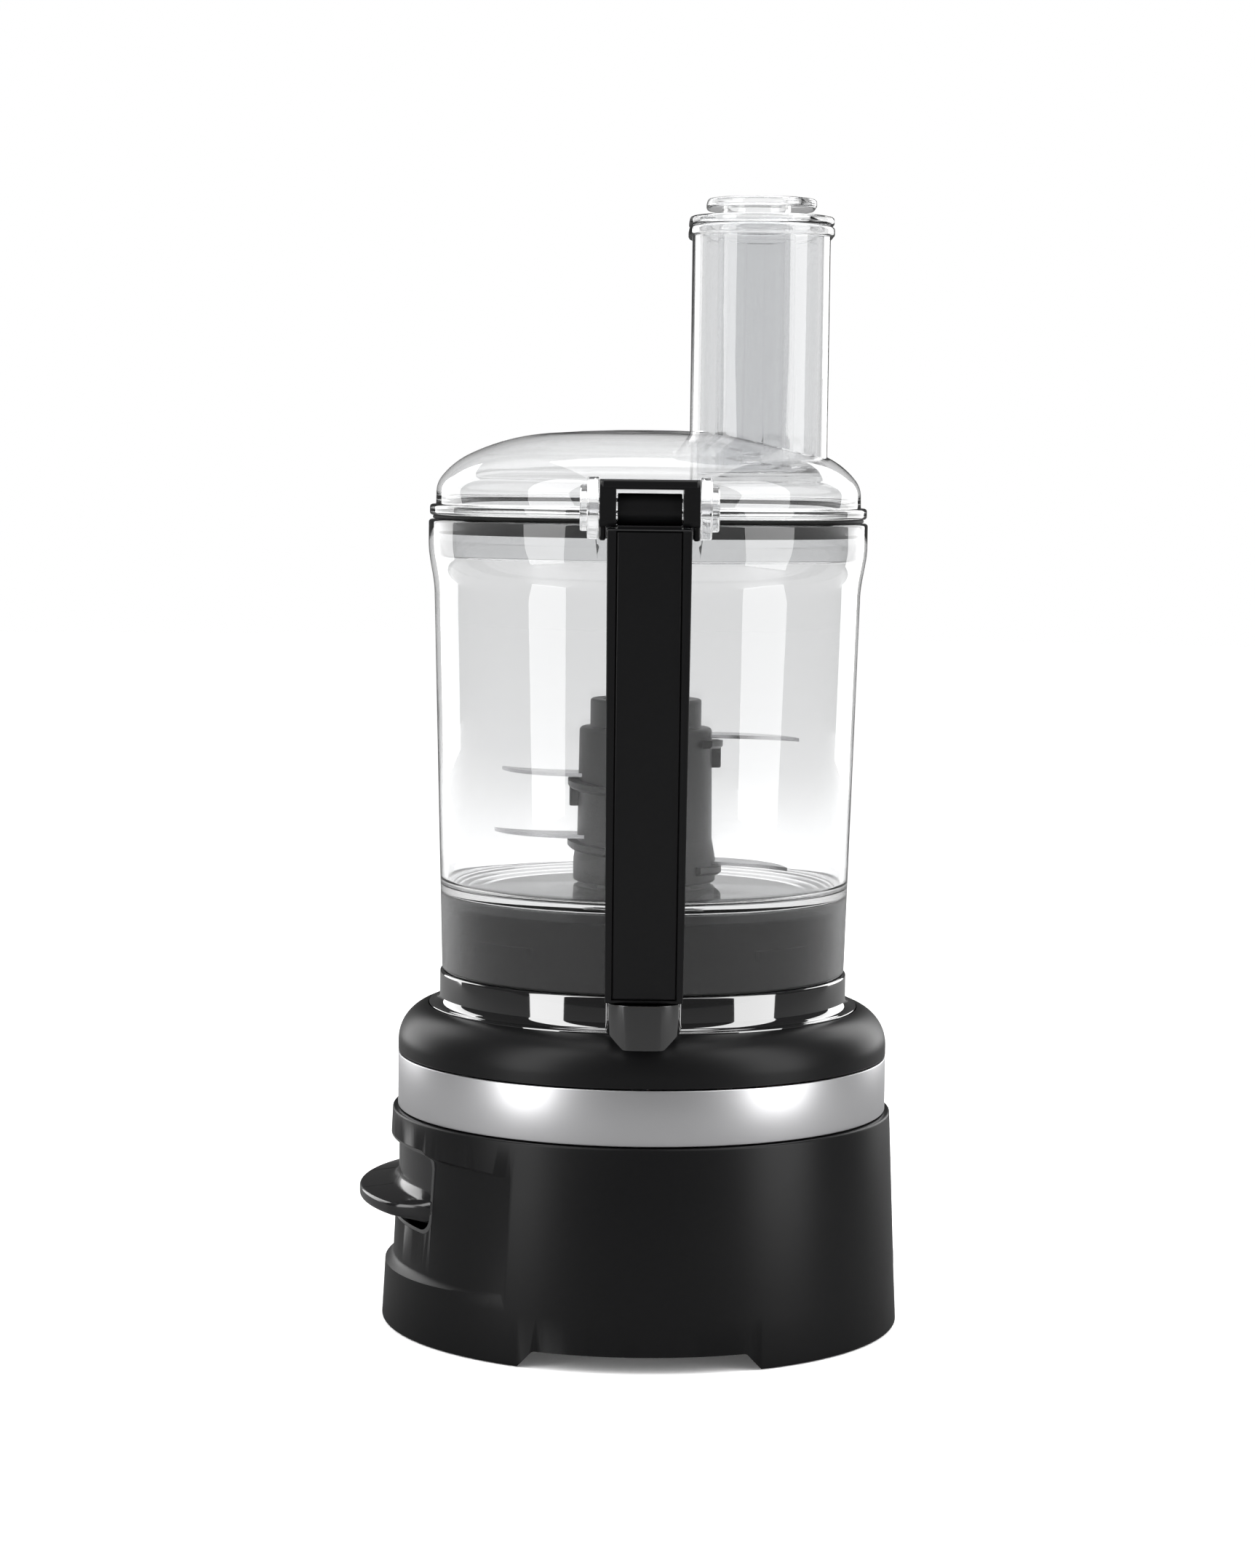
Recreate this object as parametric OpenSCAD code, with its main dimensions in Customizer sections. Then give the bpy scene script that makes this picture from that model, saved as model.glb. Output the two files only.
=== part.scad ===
// Food processor: a belt driven motor base, a clear work bowl with a handle, a latched lid
// with a feed tube and a two-part pusher, and a four-bladed chopping unit.
// Origin on the bowl axis at the table. +Z up, key paddles towards -Y, bowl handle towards +X.

/* [Base housing] */
// Radius of the lower housing at the table
base_r = 102; // [100:1:124]
// Height of the lower housing, up to the trim band
base_h = 84; // [82:1:102]
// Wall of the moulded housings
wall = 2.6; // [2:0.1:3.2]
// Height of the flared foot of the lower housing
foot_h = 20; // [14:1:24]
// Radius lost over the flared foot
foot_flare = 1; // [0.5:0.1:1.5]
// Radius lost between the foot and the trim band
body_taper = 2.8; // [1:0.1:4]
// Depth of the flattened recess that runs across the front
recess_d = 3.1; // [2:0.1:3.6]
// Height at which the front recess starts
recess_z = 26; // [24:1:32]
// Half width of the finger notches in the bottom edge
notch_w = 45.5; // [30:0.5:50]
// Height of the finger notches
notch_h = 6.5; // [4:0.5:7]

/* [Trim band and shoulder] */
// Height of the metal trim band
band_h = 21; // [16:1:26]
// Sheet thickness of the trim band
band_t = 1.1; // [0.8:0.1:1.4]
// How far the band sits inside the lower housing
band_inset = 2; // [1.6:0.1:2.4]
// Radius of the rounded shoulder
shoulder_round = 17; // [14:0.5:20]

/* [Bowl seat] */
// Outer radius of the gloss collar under the bowl
collar_r = 80; // [79:0.5:82]
// Height of the collar above the shoulder
collar_h = 11; // [9:0.5:14]
// Radius of the flare at the foot of the collar
flare_r = 8; // [6:0.5:8]
// Height of the pedestal above the collar
pedestal_h = 27; // [22:1:29]
// Half width of the docking toe under the handle
toe_w = 14; // [12:0.5:14]
// Reach of the docking toe from the axis
toe_reach = 108; // [104:1:112]
// Height of the docking toe
toe_h = 18; // [14:1:20]

/* [Work bowl] */
// Outer radius of the bowl where it meets the collar
bowl_r = 79.2; // [78.6:0.1:79.6]
// Height of the bowl from the collar to its rim
bowl_h = 174.7; // [140:0.1:210]
// Wall of the bowl
bowl_wall = 2.5; // [2:0.1:3.2]
// Radius gained between the bowl's foot and its flare
bowl_draft = 4; // [3:0.1:5]
// Outer radius of the bowl's rim
rim_r = 86.5; // [86:0.1:88]
// Height of the rim with the flare under it
flare_h = 28; // [24:1:34]
// Height of the bowl's foot skirt, up to the inside of the floor
skirt_h = 33.7; // [31:0.1:38]

/* [Handle] */
// Reach of the handle from the axis
handle_reach = 125; // [122:1:130]
// Reach of the handle's foot from the axis
foot_reach = 106; // [104:1:110]
// Thickness of the grip
grip_t = 17; // [16:0.5:19]
// Width of the handle at the top
handle_top_w = 30.6; // [29:0.1:31]
// Width of the handle at the foot
handle_foot_w = 28.6; // [27:0.1:29]
// Width of the inset cover on the grip
cover_w = 24; // [20:0.5:24]

/* [Lid] */
// Wall of the lid
lid_wall = 2.3; // [1.8:0.1:3]
// Thickness of the lid's flange
flange_t = 4.3; // [3.5:0.1:5]
// Height of the straight wall between flange and dome
dome_wall_h = 5; // [4:0.5:8]
// Gap between rim and flange, where the gasket shows
gasket_gap = 3.2; // [2.5:0.1:4]

/* [Feed tube and pushers] */
// Distance from the bowl axis to the feed tube
tube_y = 43; // [40:0.5:43]
// Outer radius of the feed tube's round ends
tube_r = 27.4; // [24:0.1:28]
// Distance between the centres of its round ends
tube_span = 21; // [0:1:24]
// Height of the feed tube above the flange
tube_h = 108; // [90:1:130]
// Wall of the feed tube
tube_wall = 2.2; // [1.8:0.1:2.8]
// Radius of the small pusher
small_r = 13.4; // [11:0.1:14]
// Wall of both pushers
pusher_wall = 1.8; // [1.5:0.1:2.4]

/* [Latch] */
// Width of the latch
latch_w = 36.2; // [36:0.1:38]
// Distance from the axis to the latch pivot
pivot_x = 98; // [97:0.5:99]
// Radius of the latch pins
latch_pin_r = 2; // [1.5:0.1:2.5]

/* [Blade unit] */
// Outer radius of the blade hub
hub_r = 26.5; // [25:0.5:28]
// Length of the blade hub
hub_h = 72.2; // [68:0.1:76]
// Thickness of the blades
blade_t = 1.4; // [1:0.1:2]

/* [Drive] */
// Radius of the drive shaft
shaft_r = 4; // [3:0.1:5]
// Distance from the drive shaft to the motor shaft
motor_y = 55; // [54:0.5:56]
// Running radius of the belt on the drive pulley
big_pulley_r = 38; // [34:0.5:39]
// Running radius of the belt on the motor pulley
small_pulley_r = 8; // [7:0.5:9]
// Width of the belt
belt_w = 8; // [6:0.5:8]
// Thickness of the belt
belt_t = 1.6; // [1.2:0.1:2]
// Radius of the motor shaft
rotor_r = 3; // [2.5:0.1:3.5]

/* [Keys] */
// Half width of the row of key paddles
keys_w = 54; // [48:0.5:54]
// Half width of the middle paddle
mid_key_w = 17; // [14:0.5:20]
// Reach of the paddles from the axis
paddle_reach = 111.2; // [108:0.1:114]

/* [Clearances] */
// Running clearance of a shaft in its bearing, on the radius
run_gap = 0.05; // [0.02:0.01:0.08]
// Gap between pieces that move past each other
slide_gap = 0.5; // [0.4:0.05:0.6]
// Gap between two pieces of different bodies that rest on each other
rest_gap = 0.3; // [0.2:0.05:0.5]
// Gap between neighbouring fixed pieces
fit_gap = 0.1; // [0.05:0.01:0.2]

/* [Hidden] */
$fn = 96;
far = 300;
eps = 0.01;

// Levels, from the table up
seam = 0.5;
band_z = base_h + seam;
shoulder_z = base_h + band_h + 2 * seam;
shoulder_cz = shoulder_z + 4;
shoulder_top = shoulder_cz + shoulder_round;
seat_z = shoulder_top + collar_h;
bowl_z = seat_z + rest_gap;
floor_z = bowl_z + skirt_h;
rim_z = bowl_z + bowl_h;
flange_z = rim_z + gasket_gap;
dome_z = flange_z + flange_t;
tube_top = dome_z + tube_h;

// Radii of the base, from the foot up
body_r1 = base_r - foot_flare;
body_r2 = body_r1 - body_taper;
band_r = body_r2 - band_inset;
core_r = band_r - band_t - fit_gap;
shoulder_r = band_r + 0.8;
function body_r(z) = z < foot_h ? base_r - foot_flare * z / foot_h
    : body_r1 - body_taper * (z - foot_h) / (base_h - foot_h);

// ---------------------------------------------------------------- shared shapes

// A ring about the Z axis
module ring(r1, r0, z0, z1) {
    difference() {
        translate([0, 0, z0]) cylinder(r = r1, h = z1 - z0);
        translate([0, 0, z0 - 1]) cylinder(r = r0, h = z1 - z0 + 2);
    }
}

// An outline drawn in X and Z, made w thick about Y = 0
module upright(w) {
    rotate([90, 0, 0]) translate([0, 0, -w / 2]) linear_extrude(w) children();
}

// A rectangle with round corners, about its own centre
module round_rect(w, h, r) {
    square([w - 2 * r, h], center = true);
    square([w, h - 2 * r], center = true);
    for (x = [-1, 1], y = [-1, 1]) translate([x * (w / 2 - r), y * (h / 2 - r)]) circle(r);
}

// A bar with round ends, lying along X
module stadium(r, span) {
    square([span, 2 * r], center = true);
    for (x = [-1, 1]) translate([x * span / 2, 0]) circle(r);
}

// A coil spring along Z from z = 0 to z = h
module coil(r, wire, h, turns) {
    steps = 12;
    sides = 6;
    n = turns * steps;
    pts = [for (i = [0:n], j = [0:sides - 1]) let (a = 360 * i / steps, b = 360 * j / sides,
        q = r + wire * cos(b)) [q * cos(a), q * sin(a), wire + (h - 2 * wire) * i / n + wire * sin(b)]];
    side = [for (i = [0:n - 1], j = [0:sides - 1]) let (k = (j + 1) % sides)
        [i * sides + j, i * sides + k, (i + 1) * sides + k, (i + 1) * sides + j]];
    ends = [[for (j = [sides - 1:-1:0]) j], [for (j = [0:sides - 1]) n * sides + j]];
    polyhedron(pts, concat(side, ends));
}

// ---------------------------------------------------------------- lower housing

recess_shift = 2 * recess_d + 0.3;
recess_step = 4;
recess_top = base_h - 13;
key_z0 = recess_z + 15.4;
key_z1 = recess_top + 3;
pocket_w = keys_w + 2.6;
gland_z = 22;
gland_r = 8;
screw_angles = [20, 110, 200, 290];
screw_at = base_r - 13;
feet_at = base_r - 17.5;
cover_z = notch_h + 1;
cover_t = 2.5;

// The outside of the lower housing, drawn inwards by o
module body_solid(o) {
    rotate_extrude() polygon([[0, -eps * o], [base_r - o, -eps * o], [body_r1 - o, foot_h],
        [body_r2 - o, base_h - o], [0, base_h - o]]);
}

// What the front recess takes away. grow moves its floor inwards for the wall behind it
module recess(grow) {
    function r_in(z) = body_r(z) + recess_shift - recess_d - grow;
    translate([0, recess_shift, 0]) rotate_extrude() polygon([
        [far, recess_z - 5 - grow], [r_in(recess_z) + recess_step, recess_z - 5 - grow],
        [r_in(recess_z), recess_z - grow], [r_in(recess_top), recess_top + grow],
        [r_in(recess_top) + recess_step, recess_top + 3 + grow], [far, recess_top + 3 + grow]]);
}

module body_recessed() {
    difference() {
        body_solid(0);
        recess(0);
    }
}

// The opening for the keys, drawn outwards by o
module key_opening(o) {
    translate([0, 0, (key_z0 + key_z1) / 2]) rotate([90, 0, 0]) linear_extrude(far)
        round_rect(2 * (pocket_w + o), key_z1 - key_z0 + 2 * o, 6);
}

module notch() {
    slope = 5.5;
    rotate([90, 0, 90]) linear_extrude(far) polygon([[-notch_w, -1], [notch_w, -1],
        [notch_w, 0], [notch_w - slope, notch_h], [slope - notch_w, notch_h], [-notch_w, 0]]);
}

module base_housing() {
    color("#1c1c1d") difference() {
        union() {
            difference() {
                body_solid(0);
                difference() {
                    body_solid(wall);
                    recess(wall);
                    for (a = screw_angles) rotate(a) translate([screw_at, -4, cover_z + cover_t])
                        cube([far, 8, 14]);
                    for (a = screw_angles) rotate(a) translate([screw_at, 0, cover_z + cover_t])
                        cylinder(r = 4, h = 14);
                }
                recess(0);
            }
            ring(core_r, core_r - wall, base_h - wall, base_h + band_h + seam);
        }
        translate([0, 0, base_h - wall - 1]) cylinder(r = core_r - wall, h = wall + 2);
        key_opening(0);
        for (a = [0, 180]) rotate(a) notch();
        translate([0, 0, gland_z]) rotate([-90, 0, 0]) cylinder(r = gland_r + fit_gap, h = far);
        for (a = screw_angles) rotate(a) translate([screw_at, 0, 0]) cylinder(r = 1.6, h = 22);
    }
}

module bottom_cover() {
    post_z = cover_z + cover_t;
    color("#242425") difference() {
        union() {
            translate([0, 0, cover_z]) cylinder(r = body_r1 - wall - slide_gap, h = cover_t);
            for (a = [45:90:315]) rotate(a) translate([chassis_r - 10, 0, cover_z])
                cylinder(r = 4, h = chassis_z - cover_z);
        }
        for (a = screw_angles) rotate(a) translate([screw_at, 0, 0]) cylinder(r = 1.8, h = post_z + 1);
        for (x = [-3:3]) translate([x * 9 - 1.5, -30, 0]) cube([3, 34, post_z + 1]);
    }
}

module rubber_feet() {
    color("#111111") for (a = [45:90:315]) rotate(a) translate([feet_at, 0, 0]) difference() {
        cylinder(r = 11, h = cover_z);
        translate([0, 0, -1]) cylinder(r = 5, h = 3);
    }
}

module cover_screws() {
    color("silver") for (a = screw_angles) rotate(a) translate([screw_at, 0, 0]) difference() {
        union() {
            translate([0, 0, cover_z - 2.2]) cylinder(r = 3.4, h = 2.2);
            translate([0, 0, cover_z - eps]) cylinder(r = 1.6, h = 13);
        }
        for (t = [0, 90]) rotate(t) translate([-2.2, -0.4, cover_z - 3]) cube([4.4, 0.8, 1.8]);
    }
}

// ---------------------------------------------------------------- band, shoulder and seat

module trim_band() {
    color("#b9bbbd") ring(band_r, band_r - band_t, band_z, band_z + band_h);
}

// Half section of the shoulder, drawn inwards by o
module shoulder_area(o) {
    cx = shoulder_r - shoulder_round;
    intersection() {
        union() {
            translate([cx, shoulder_cz]) circle(shoulder_round - o);
            translate([0, 0]) square([shoulder_r - o, shoulder_cz]);
            square([cx, shoulder_top - o]);
        }
        translate([0, shoulder_z - 0.001 * o]) square([far, far]);
    }
}

rim_in = collar_r + flare_r / 2 + rest_gap;

module top_housing() {
    color("#1c1c1d") {
        difference() {
            rotate_extrude() difference() {
                shoulder_area(0);
                shoulder_area(wall);
                square([rim_in, far]);
            }
            translate([0, 0, shoulder_z - 1]) cylinder(r = core_r - wall, h = 2);
        }
        difference() {
            ring(core_r - wall - fit_gap, core_r - 2 * wall, shoulder_z - 6, shoulder_z + 2);
            translate([0, 0, shoulder_z]) cylinder(r = core_r - 2 * wall - fit_gap, h = 4);
        }
        ring(shoulder_r - wall + eps, core_r - 2 * wall, shoulder_z, shoulder_z + 2);
    }
}

seat_t = 2.8;
pedestal_r = bowl_r - bowl_wall - 3.7;
groove_z = seat_z - 4;
bearing_r = 2 * shaft_r;
bearing_h = 7;
tower_r = bearing_r + 4;
upper_bearing_z = floor_z + 5;
pedestal_top = seat_z + pedestal_h;
lug_z = seat_z + 12;
lug_angles = [45:90:315];
sensor_x = foot_reach - 13;

module seat_section() {
    collar_in = collar_r - seat_t;
    difference() {
        translate([collar_in, shoulder_top - 0.8]) square([seat_t + flare_r / 2, flare_r]);
        translate([collar_r + flare_r, shoulder_top + flare_r - 1]) circle(flare_r);
        translate([collar_r, shoulder_top + flare_r - 1]) square([far, far]);
    }
    translate([collar_in, shoulder_top - 5.5]) square([seat_t, seat_z - shoulder_top + 5.5]);
    translate([collar_in, shoulder_top - 5.5]) square([seat_t + 3.6, 2.1]);
    translate([pedestal_r - seat_t, groove_z - 2.5]) square([collar_r - pedestal_r + eps, 2.5]);
    translate([pedestal_r - seat_t, groove_z - 2.5]) square([seat_t, pedestal_top - groove_z + 2.5]);
    translate([bearing_r, pedestal_top - seat_t]) square([pedestal_r - bearing_r, seat_t]);
    translate([bearing_r, pedestal_top - 20]) square([tower_r - bearing_r,
        upper_bearing_z + bearing_h + 1 - pedestal_top + 20]);
    translate([shaft_r + 1.2, upper_bearing_z - 2]) square([bearing_r - shaft_r, 2]);
}

// A wedge from the axis outwards, w degrees wide about +X
module wedge(w, z0, z1) {
    translate([0, 0, z0]) linear_extrude(z1 - z0)
        polygon([[0, 0], [far, -far * tan(w / 2)], [far, far * tan(w / 2)]]);
}

module toe() {
    chamfer = 6.5;
    difference() {
        translate([collar_r - 1, 0, 0]) rotate([90, 0, 90]) linear_extrude(toe_reach - collar_r + 1)
            translate([0, seat_z + 1]) polygon([[-toe_w, 0], [toe_w, 0], [toe_w, chamfer - toe_h],
                [toe_w - chamfer, -toe_h], [chamfer - toe_w, -toe_h], [-toe_w, chamfer - toe_h]]);
        rotate_extrude() shoulder_area(0);
        translate([0, 0, seat_z - 40]) cylinder(r = collar_r - 0.5, h = 80);
        translate([sensor_x - 4 - fit_gap, -6 - fit_gap, seat_z - 13])
            cube([8 + 2 * fit_gap, 12 + 2 * fit_gap, 11]);
    }
}

module bowl_seat() {
    color("#0c0c0d") difference() {
        union() {
            rotate_extrude() seat_section();
            toe();
            for (a = lug_angles) rotate(a) intersection() {
                ring(pedestal_r + 2.4, pedestal_r - 1, lug_z, lug_z + 4);
                wedge(20, lug_z, lug_z + 4);
            }
        }
        translate([collar_r - seat_t - 1, -2.5, groove_z - 7])
            cube([sensor_x - collar_r + seat_t, 5, 4]);
    }
}

module lock_sensor() {
    color("#2b4a2f") {
        translate([sensor_x - 4, -6, seat_z - 12]) cube([8, 12, 1.6]);
        translate([sensor_x - 1.5, -2, seat_z - 10.4]) cube([3, 4, 5]);
    }
}

// ---------------------------------------------------------------- chassis and motor

chassis_z = 28;
chassis_t = 3;
chassis_r = base_r - 14;
pulley_z = 13;
pulley_h = belt_w + 4;
frame_z = chassis_z + chassis_t;
bearing_z = frame_z - 1;
core_z = frame_z + 17;
core_h = 32;
core_or = 28;
armature_r = 18.5;
frame_top = core_z + core_h + 16;
brush_z = core_z + core_h + 10.8;

module chassis_plate() {
    color("#8d9094") difference() {
        union() {
            translate([0, 0, chassis_z]) cylinder(r = chassis_r, h = chassis_t);
            translate([0, 0, chassis_z - 2]) cylinder(r = bearing_r + 4, h = 2 + chassis_t + bearing_h);
        }
        translate([0, 0, chassis_z - 3]) cylinder(r = shaft_r + 1.2, h = far);
        translate([0, 0, bearing_z]) cylinder(r = bearing_r, h = far);
        translate([0, motor_y, chassis_z - 1]) cylinder(r = 14, h = chassis_t + 2);
        translate([-pocket_w - 2, -far - key_back, chassis_z - 1]) cube([2 * pocket_w + 4, far, 8]);
        translate([-gland_r - 4, chassis_r - 9, chassis_z - 1]) cube([2 * gland_r + 8, far, chassis_t + 2]);
        for (a = [45:90:315]) rotate(a) translate([chassis_r - 10, 0, chassis_z - 1])
            cylinder(r = 1.6, h = chassis_t + 2);
    }
}

module bearing(z) {
    bore = shaft_r + run_gap;
    color("#c9ccd0") difference() {
        translate([0, 0, z]) cylinder(r = bearing_r, h = bearing_h);
        translate([0, 0, z - 1]) cylinder(r = bore, h = bearing_h + 2);
        for (e = [0, bearing_h - 0.6]) ring(bearing_r - 1.4, bore + 1.2, z + e - eps, z + e + 0.6 + eps);
    }
}

module lower_bearing() {
    bearing(bearing_z);
}

module upper_bearing() {
    bearing(upper_bearing_z);
}

module cord_gland() {
    y = body_r(gland_z);
    color("#161616") translate([0, 0, gland_z]) rotate([-90, 0, 0]) difference() {
        union() {
            translate([0, 0, y - 20]) cylinder(r = gland_r, h = 21);
            translate([0, 0, y - 11]) cylinder(r = gland_r + 2.5, h = 11 - wall - 2.5);
        }
        translate([0, 0, y - 21]) cylinder(r = 3.6, h = 40);
    }
}

module motor_frame() {
    boss = 7;
    color("#9a9da1") translate([0, motor_y, 0]) difference() {
        union() {
            translate([0, 0, frame_z]) cylinder(r = 34, h = 4);
            for (a = [45:90:315]) rotate(a) translate([31, 0, frame_z]) cylinder(r = 2.3,
                h = frame_top - frame_z + 2);
            for (a = [45, 135]) rotate(a) translate([-34, -4, frame_top]) cube([68, 8, 4]);
            translate([0, 0, frame_top]) cylinder(r = boss, h = 7);
        }
        translate([0, 0, frame_z - 1]) cylinder(r = rotor_r + run_gap, h = far);
        for (a = [0:45:315]) rotate(a) translate([20, 0, frame_z - 1]) cylinder(r = 4.5, h = 6);
    }
}

module field_core() {
    color("#6e7074") translate([0, motor_y, 0]) difference() {
        translate([0, 0, core_z]) cylinder(r = core_or, h = core_h);
        translate([0, 0, core_z - 1]) cylinder(r = armature_r + 0.8, h = core_h + 2);
        for (a = [45:90:315]) rotate(a) translate([armature_r, -4, core_z - 1])
            cube([6.5, 8, core_h + 2]);
    }
}

module field_coils() {
    color("#b06a32") translate([0, motor_y, 0]) difference() {
        union() for (z = [core_z - 6, core_z + core_h]) translate([0, 0, z])
            rotate_extrude() translate([armature_r + 5, 3]) circle(3);
        translate([0, 0, core_z]) cylinder(r = far, h = core_h);
    }
}

module carbon_brushes() {
    r0 = 9.5 + slide_gap;
    color("#3a3a3c") translate([0, motor_y, brush_z]) for (a = [45, 225]) rotate(a) {
        translate([r0, -2.5, -3]) cube([12, 5, 6]);
        difference() {
            translate([r0 + 4, -3.7, -4.2]) cube([14, 7.4, 4.2 + frame_top - brush_z]);
            translate([r0 + 3, -2.5, -3]) cube([9, 5, 6]);
        }
    }
}

module motor_shaft() {
    color("#c9ccd0") translate([0, motor_y, pulley_z]) cylinder(r = rotor_r, h = frame_top + 9 - pulley_z);
}

module armature() {
    color("#85878b") translate([0, motor_y, 0]) difference() {
        translate([0, 0, core_z]) cylinder(r = armature_r, h = core_h);
        translate([0, 0, core_z - 1]) cylinder(r = rotor_r, h = core_h + 2);
        for (a = [0:30:330]) rotate(a) translate([armature_r - 6, -1, core_z - 1])
            cube([8, 2, core_h + 2]);
    }
}

module armature_windings() {
    color("#a8602c") translate([0, motor_y, 0]) {
        ring(armature_r - 3, rotor_r, core_z - 5, core_z);
        ring(armature_r - 3, rotor_r, core_z + core_h, core_z + core_h + 3.5);
    }
}

module commutator() {
    color("#b87333") translate([0, motor_y, 0]) difference() {
        ring(9.5, rotor_r, brush_z - 4, brush_z + 4.5);
        for (a = [0:30:330]) rotate(a) translate([8.2, -0.3, brush_z - 5]) cube([3, 0.6, 9]);
    }
}

module cooling_fan() {
    z = frame_z + 5;
    color("#3b3d40") translate([0, motor_y, 0]) {
        ring(7, rotor_r, z, z + 6);
        difference() {
            union() {
                ring(24, 6, z, z + 1.2);
                for (a = [0:40:320]) rotate(a) translate([6, -0.6, z]) cube([17.5, 1.2, 6]);
            }
            translate([0, 0, z - 1]) cylinder(r = 6.5, h = 8);
        }
    }
}

// A belt pulley: a core between two flanges
module pulley(r, bore) {
    difference() {
        union() {
            translate([0, 0, pulley_z]) cylinder(r = r, h = pulley_h);
            for (z = [0, pulley_h - 1.4]) translate([0, 0, pulley_z + z]) cylinder(r = r + 2.4, h = 1.4);
        }
        translate([0, 0, pulley_z - 1]) cylinder(r = bore, h = pulley_h + 2);
    }
}

module motor_pulley() {
    color("#3b3d40") translate([0, motor_y, 0]) pulley(small_pulley_r, rotor_r);
}

module drive_pulley() {
    color("#2f3133") difference() {
        pulley(big_pulley_r, shaft_r);
        for (z = [pulley_z - 1, pulley_z + pulley_h - 4]) ring(big_pulley_r - 4, shaft_r + 6, z, z + 5);
        for (a = [0:60:300]) rotate(a) translate([(big_pulley_r + shaft_r) / 2 + 1, 0, pulley_z])
            cylinder(r = 6, h = pulley_h);
    }
}

// The area inside the belt, drawn outwards by o
module belt_area(o) {
    reach = acos((big_pulley_r - small_pulley_r) / motor_y);
    side = [sin(reach), cos(reach)];
    circle(big_pulley_r + o);
    translate([0, motor_y]) circle(small_pulley_r + o);
    polygon([for (s = [1, -1]) for (e = s > 0 ? [0, 1] : [1, 0])
        let (r = (e == 0 ? big_pulley_r : small_pulley_r) + o)
        [s * side[0] * r, side[1] * r + e * motor_y]]);
}

module drive_belt() {
    color("#101010") translate([0, 0, pulley_z + 2]) linear_extrude(belt_w) difference() {
        belt_area(rest_gap + belt_t);
        belt_area(rest_gap);
    }
}

chimney_top = floor_z + 54;
coupling_z = upper_bearing_z + bearing_h + 4;
hex_z = chimney_top + 1;
hex_h = 13;
hex_r = 9.5;

module drive_shaft() {
    color("#c9ccd0") translate([0, 0, pulley_z - 1.5]) cylinder(r = shaft_r, h = hex_z + 6 - pulley_z);
}

module drive_coupling() {
    color("#d8d8d4") difference() {
        union() {
            translate([0, 0, coupling_z]) cylinder(r = tower_r - 0.5, h = hex_z - coupling_z);
            translate([0, 0, hex_z - eps]) cylinder(r = hex_r, h = hex_h, $fn = 6);
        }
        translate([0, 0, coupling_z - 1]) cylinder(r = shaft_r, h = hex_z + 5.5 - coupling_z);
    }
}

// ---------------------------------------------------------------- keys and electronics

key_r = body_r(65) - recess_d - 0.3;
key_t = 2.6;
key_top = key_z1 - 1.5;
ledge_z = recess_z + 28.6;
ledge_low = ledge_z - 8.1;
paddle_r = 83;
rod_y = -(key_r - 25.6);
rod_z = key_top - 5.5;
key_rod_r = 2;
key_back = key_r - 33;
rib_z = ledge_low + 1.5;
rib_y = -(key_r - 19.6);
key_gap = 0.3;
side_key_x = (keys_w + mid_key_w) / 2;

module key_frame() {
    lining = 1.3;
    color("#0e0e0f") {
        difference() {
            intersection() {
                body_recessed();
                difference() {
                    key_opening(-fit_gap);
                    key_opening(-fit_gap - lining);
                }
            }
            translate([-far, -key_back, 0]) cube([2 * far, far, far]);
            translate([-far, rod_y, rod_z]) rotate([0, 90, 0]) cylinder(r = key_rod_r, h = 2 * far);
        }
        difference() {
            intersection() {
                translate([0, -key_back + lining, 0]) key_opening(-fit_gap);
                translate([-far, -key_back - eps, 0]) cube([2 * far, lining + eps, far]);
            }
            for (x = [-side_key_x, 0, side_key_x]) translate([x - 14, -key_back - 1, rib_z + 10])
                cube([28, 4, 8]);
        }
    }
}

module key_rod() {
    color("#c9ccd0") translate([1 - pocket_w, rod_y, rod_z]) rotate([0, 90, 0])
        cylinder(r = key_rod_r, h = 2 * pocket_w - 2);
}

// One key between two X planes: a curved panel, a paddle, a rear rib and two hinge lugs
module key(x0, x1) {
    mid = (x0 + x1) / 2;
    cy = paddle_r - paddle_reach;
    difference() {
        intersection() {
            translate([x0 + key_gap, -far, 0]) cube([x1 - x0 - 2 * key_gap, far, far]);
            union() {
                intersection() {
                    ring(key_r, key_r - key_t, ledge_low, key_top);
                    translate([0, 0, (ledge_low + key_top) / 2]) rotate([90, 0, 0])
                        linear_extrude(far) round_rect(2 * keys_w, key_top - ledge_low, 5);
                }
                intersection() {
                    translate([0, 0, ledge_low]) linear_extrude(ledge_z - ledge_low) difference() {
                        intersection() {
                            translate([0, cy]) circle(paddle_r);
                            polygon([[-keys_w, -key_r + 17], [keys_w, -key_r + 17],
                                [keys_w - 10.5, -paddle_reach - 3], [10.5 - keys_w, -paddle_reach - 3]]);
                        }
                        circle(key_r - key_t);
                    }
                    rotate([90, 0, 90]) translate([0, 0, -far]) linear_extrude(2 * far)
                        polygon([[0, ledge_low], [1 - key_r, ledge_low], [-paddle_reach - 1, ledge_low + 3],
                            [-paddle_reach - 1, ledge_z - 2.1], [1 - key_r, ledge_z], [0, ledge_z]]);
                }
                difference() {
                    union() {
                        translate([mid - 4, -key_r, rib_z]) cube([16, key_r + rib_y, 6]);
                        for (x = [x0 + 4, x1 - 7]) {
                            translate([x, -key_r, rod_z - 4]) cube([3, key_r + rod_y, 8]);
                            translate([x, rod_y, rod_z]) rotate([0, 90, 0]) cylinder(r = 4, h = 3);
                        }
                    }
                    difference() {
                        cylinder(r = far, h = far);
                        translate([0, 0, -1]) cylinder(r = key_r - 1, h = far + 2);
                    }
                }
            }
        }
        translate([-far, rod_y, rod_z]) rotate([0, 90, 0]) cylinder(r = key_rod_r + run_gap, h = 2 * far);
    }
}

module off_key() {
    color("#202123") key(-keys_w, -mid_key_w);
}

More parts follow.
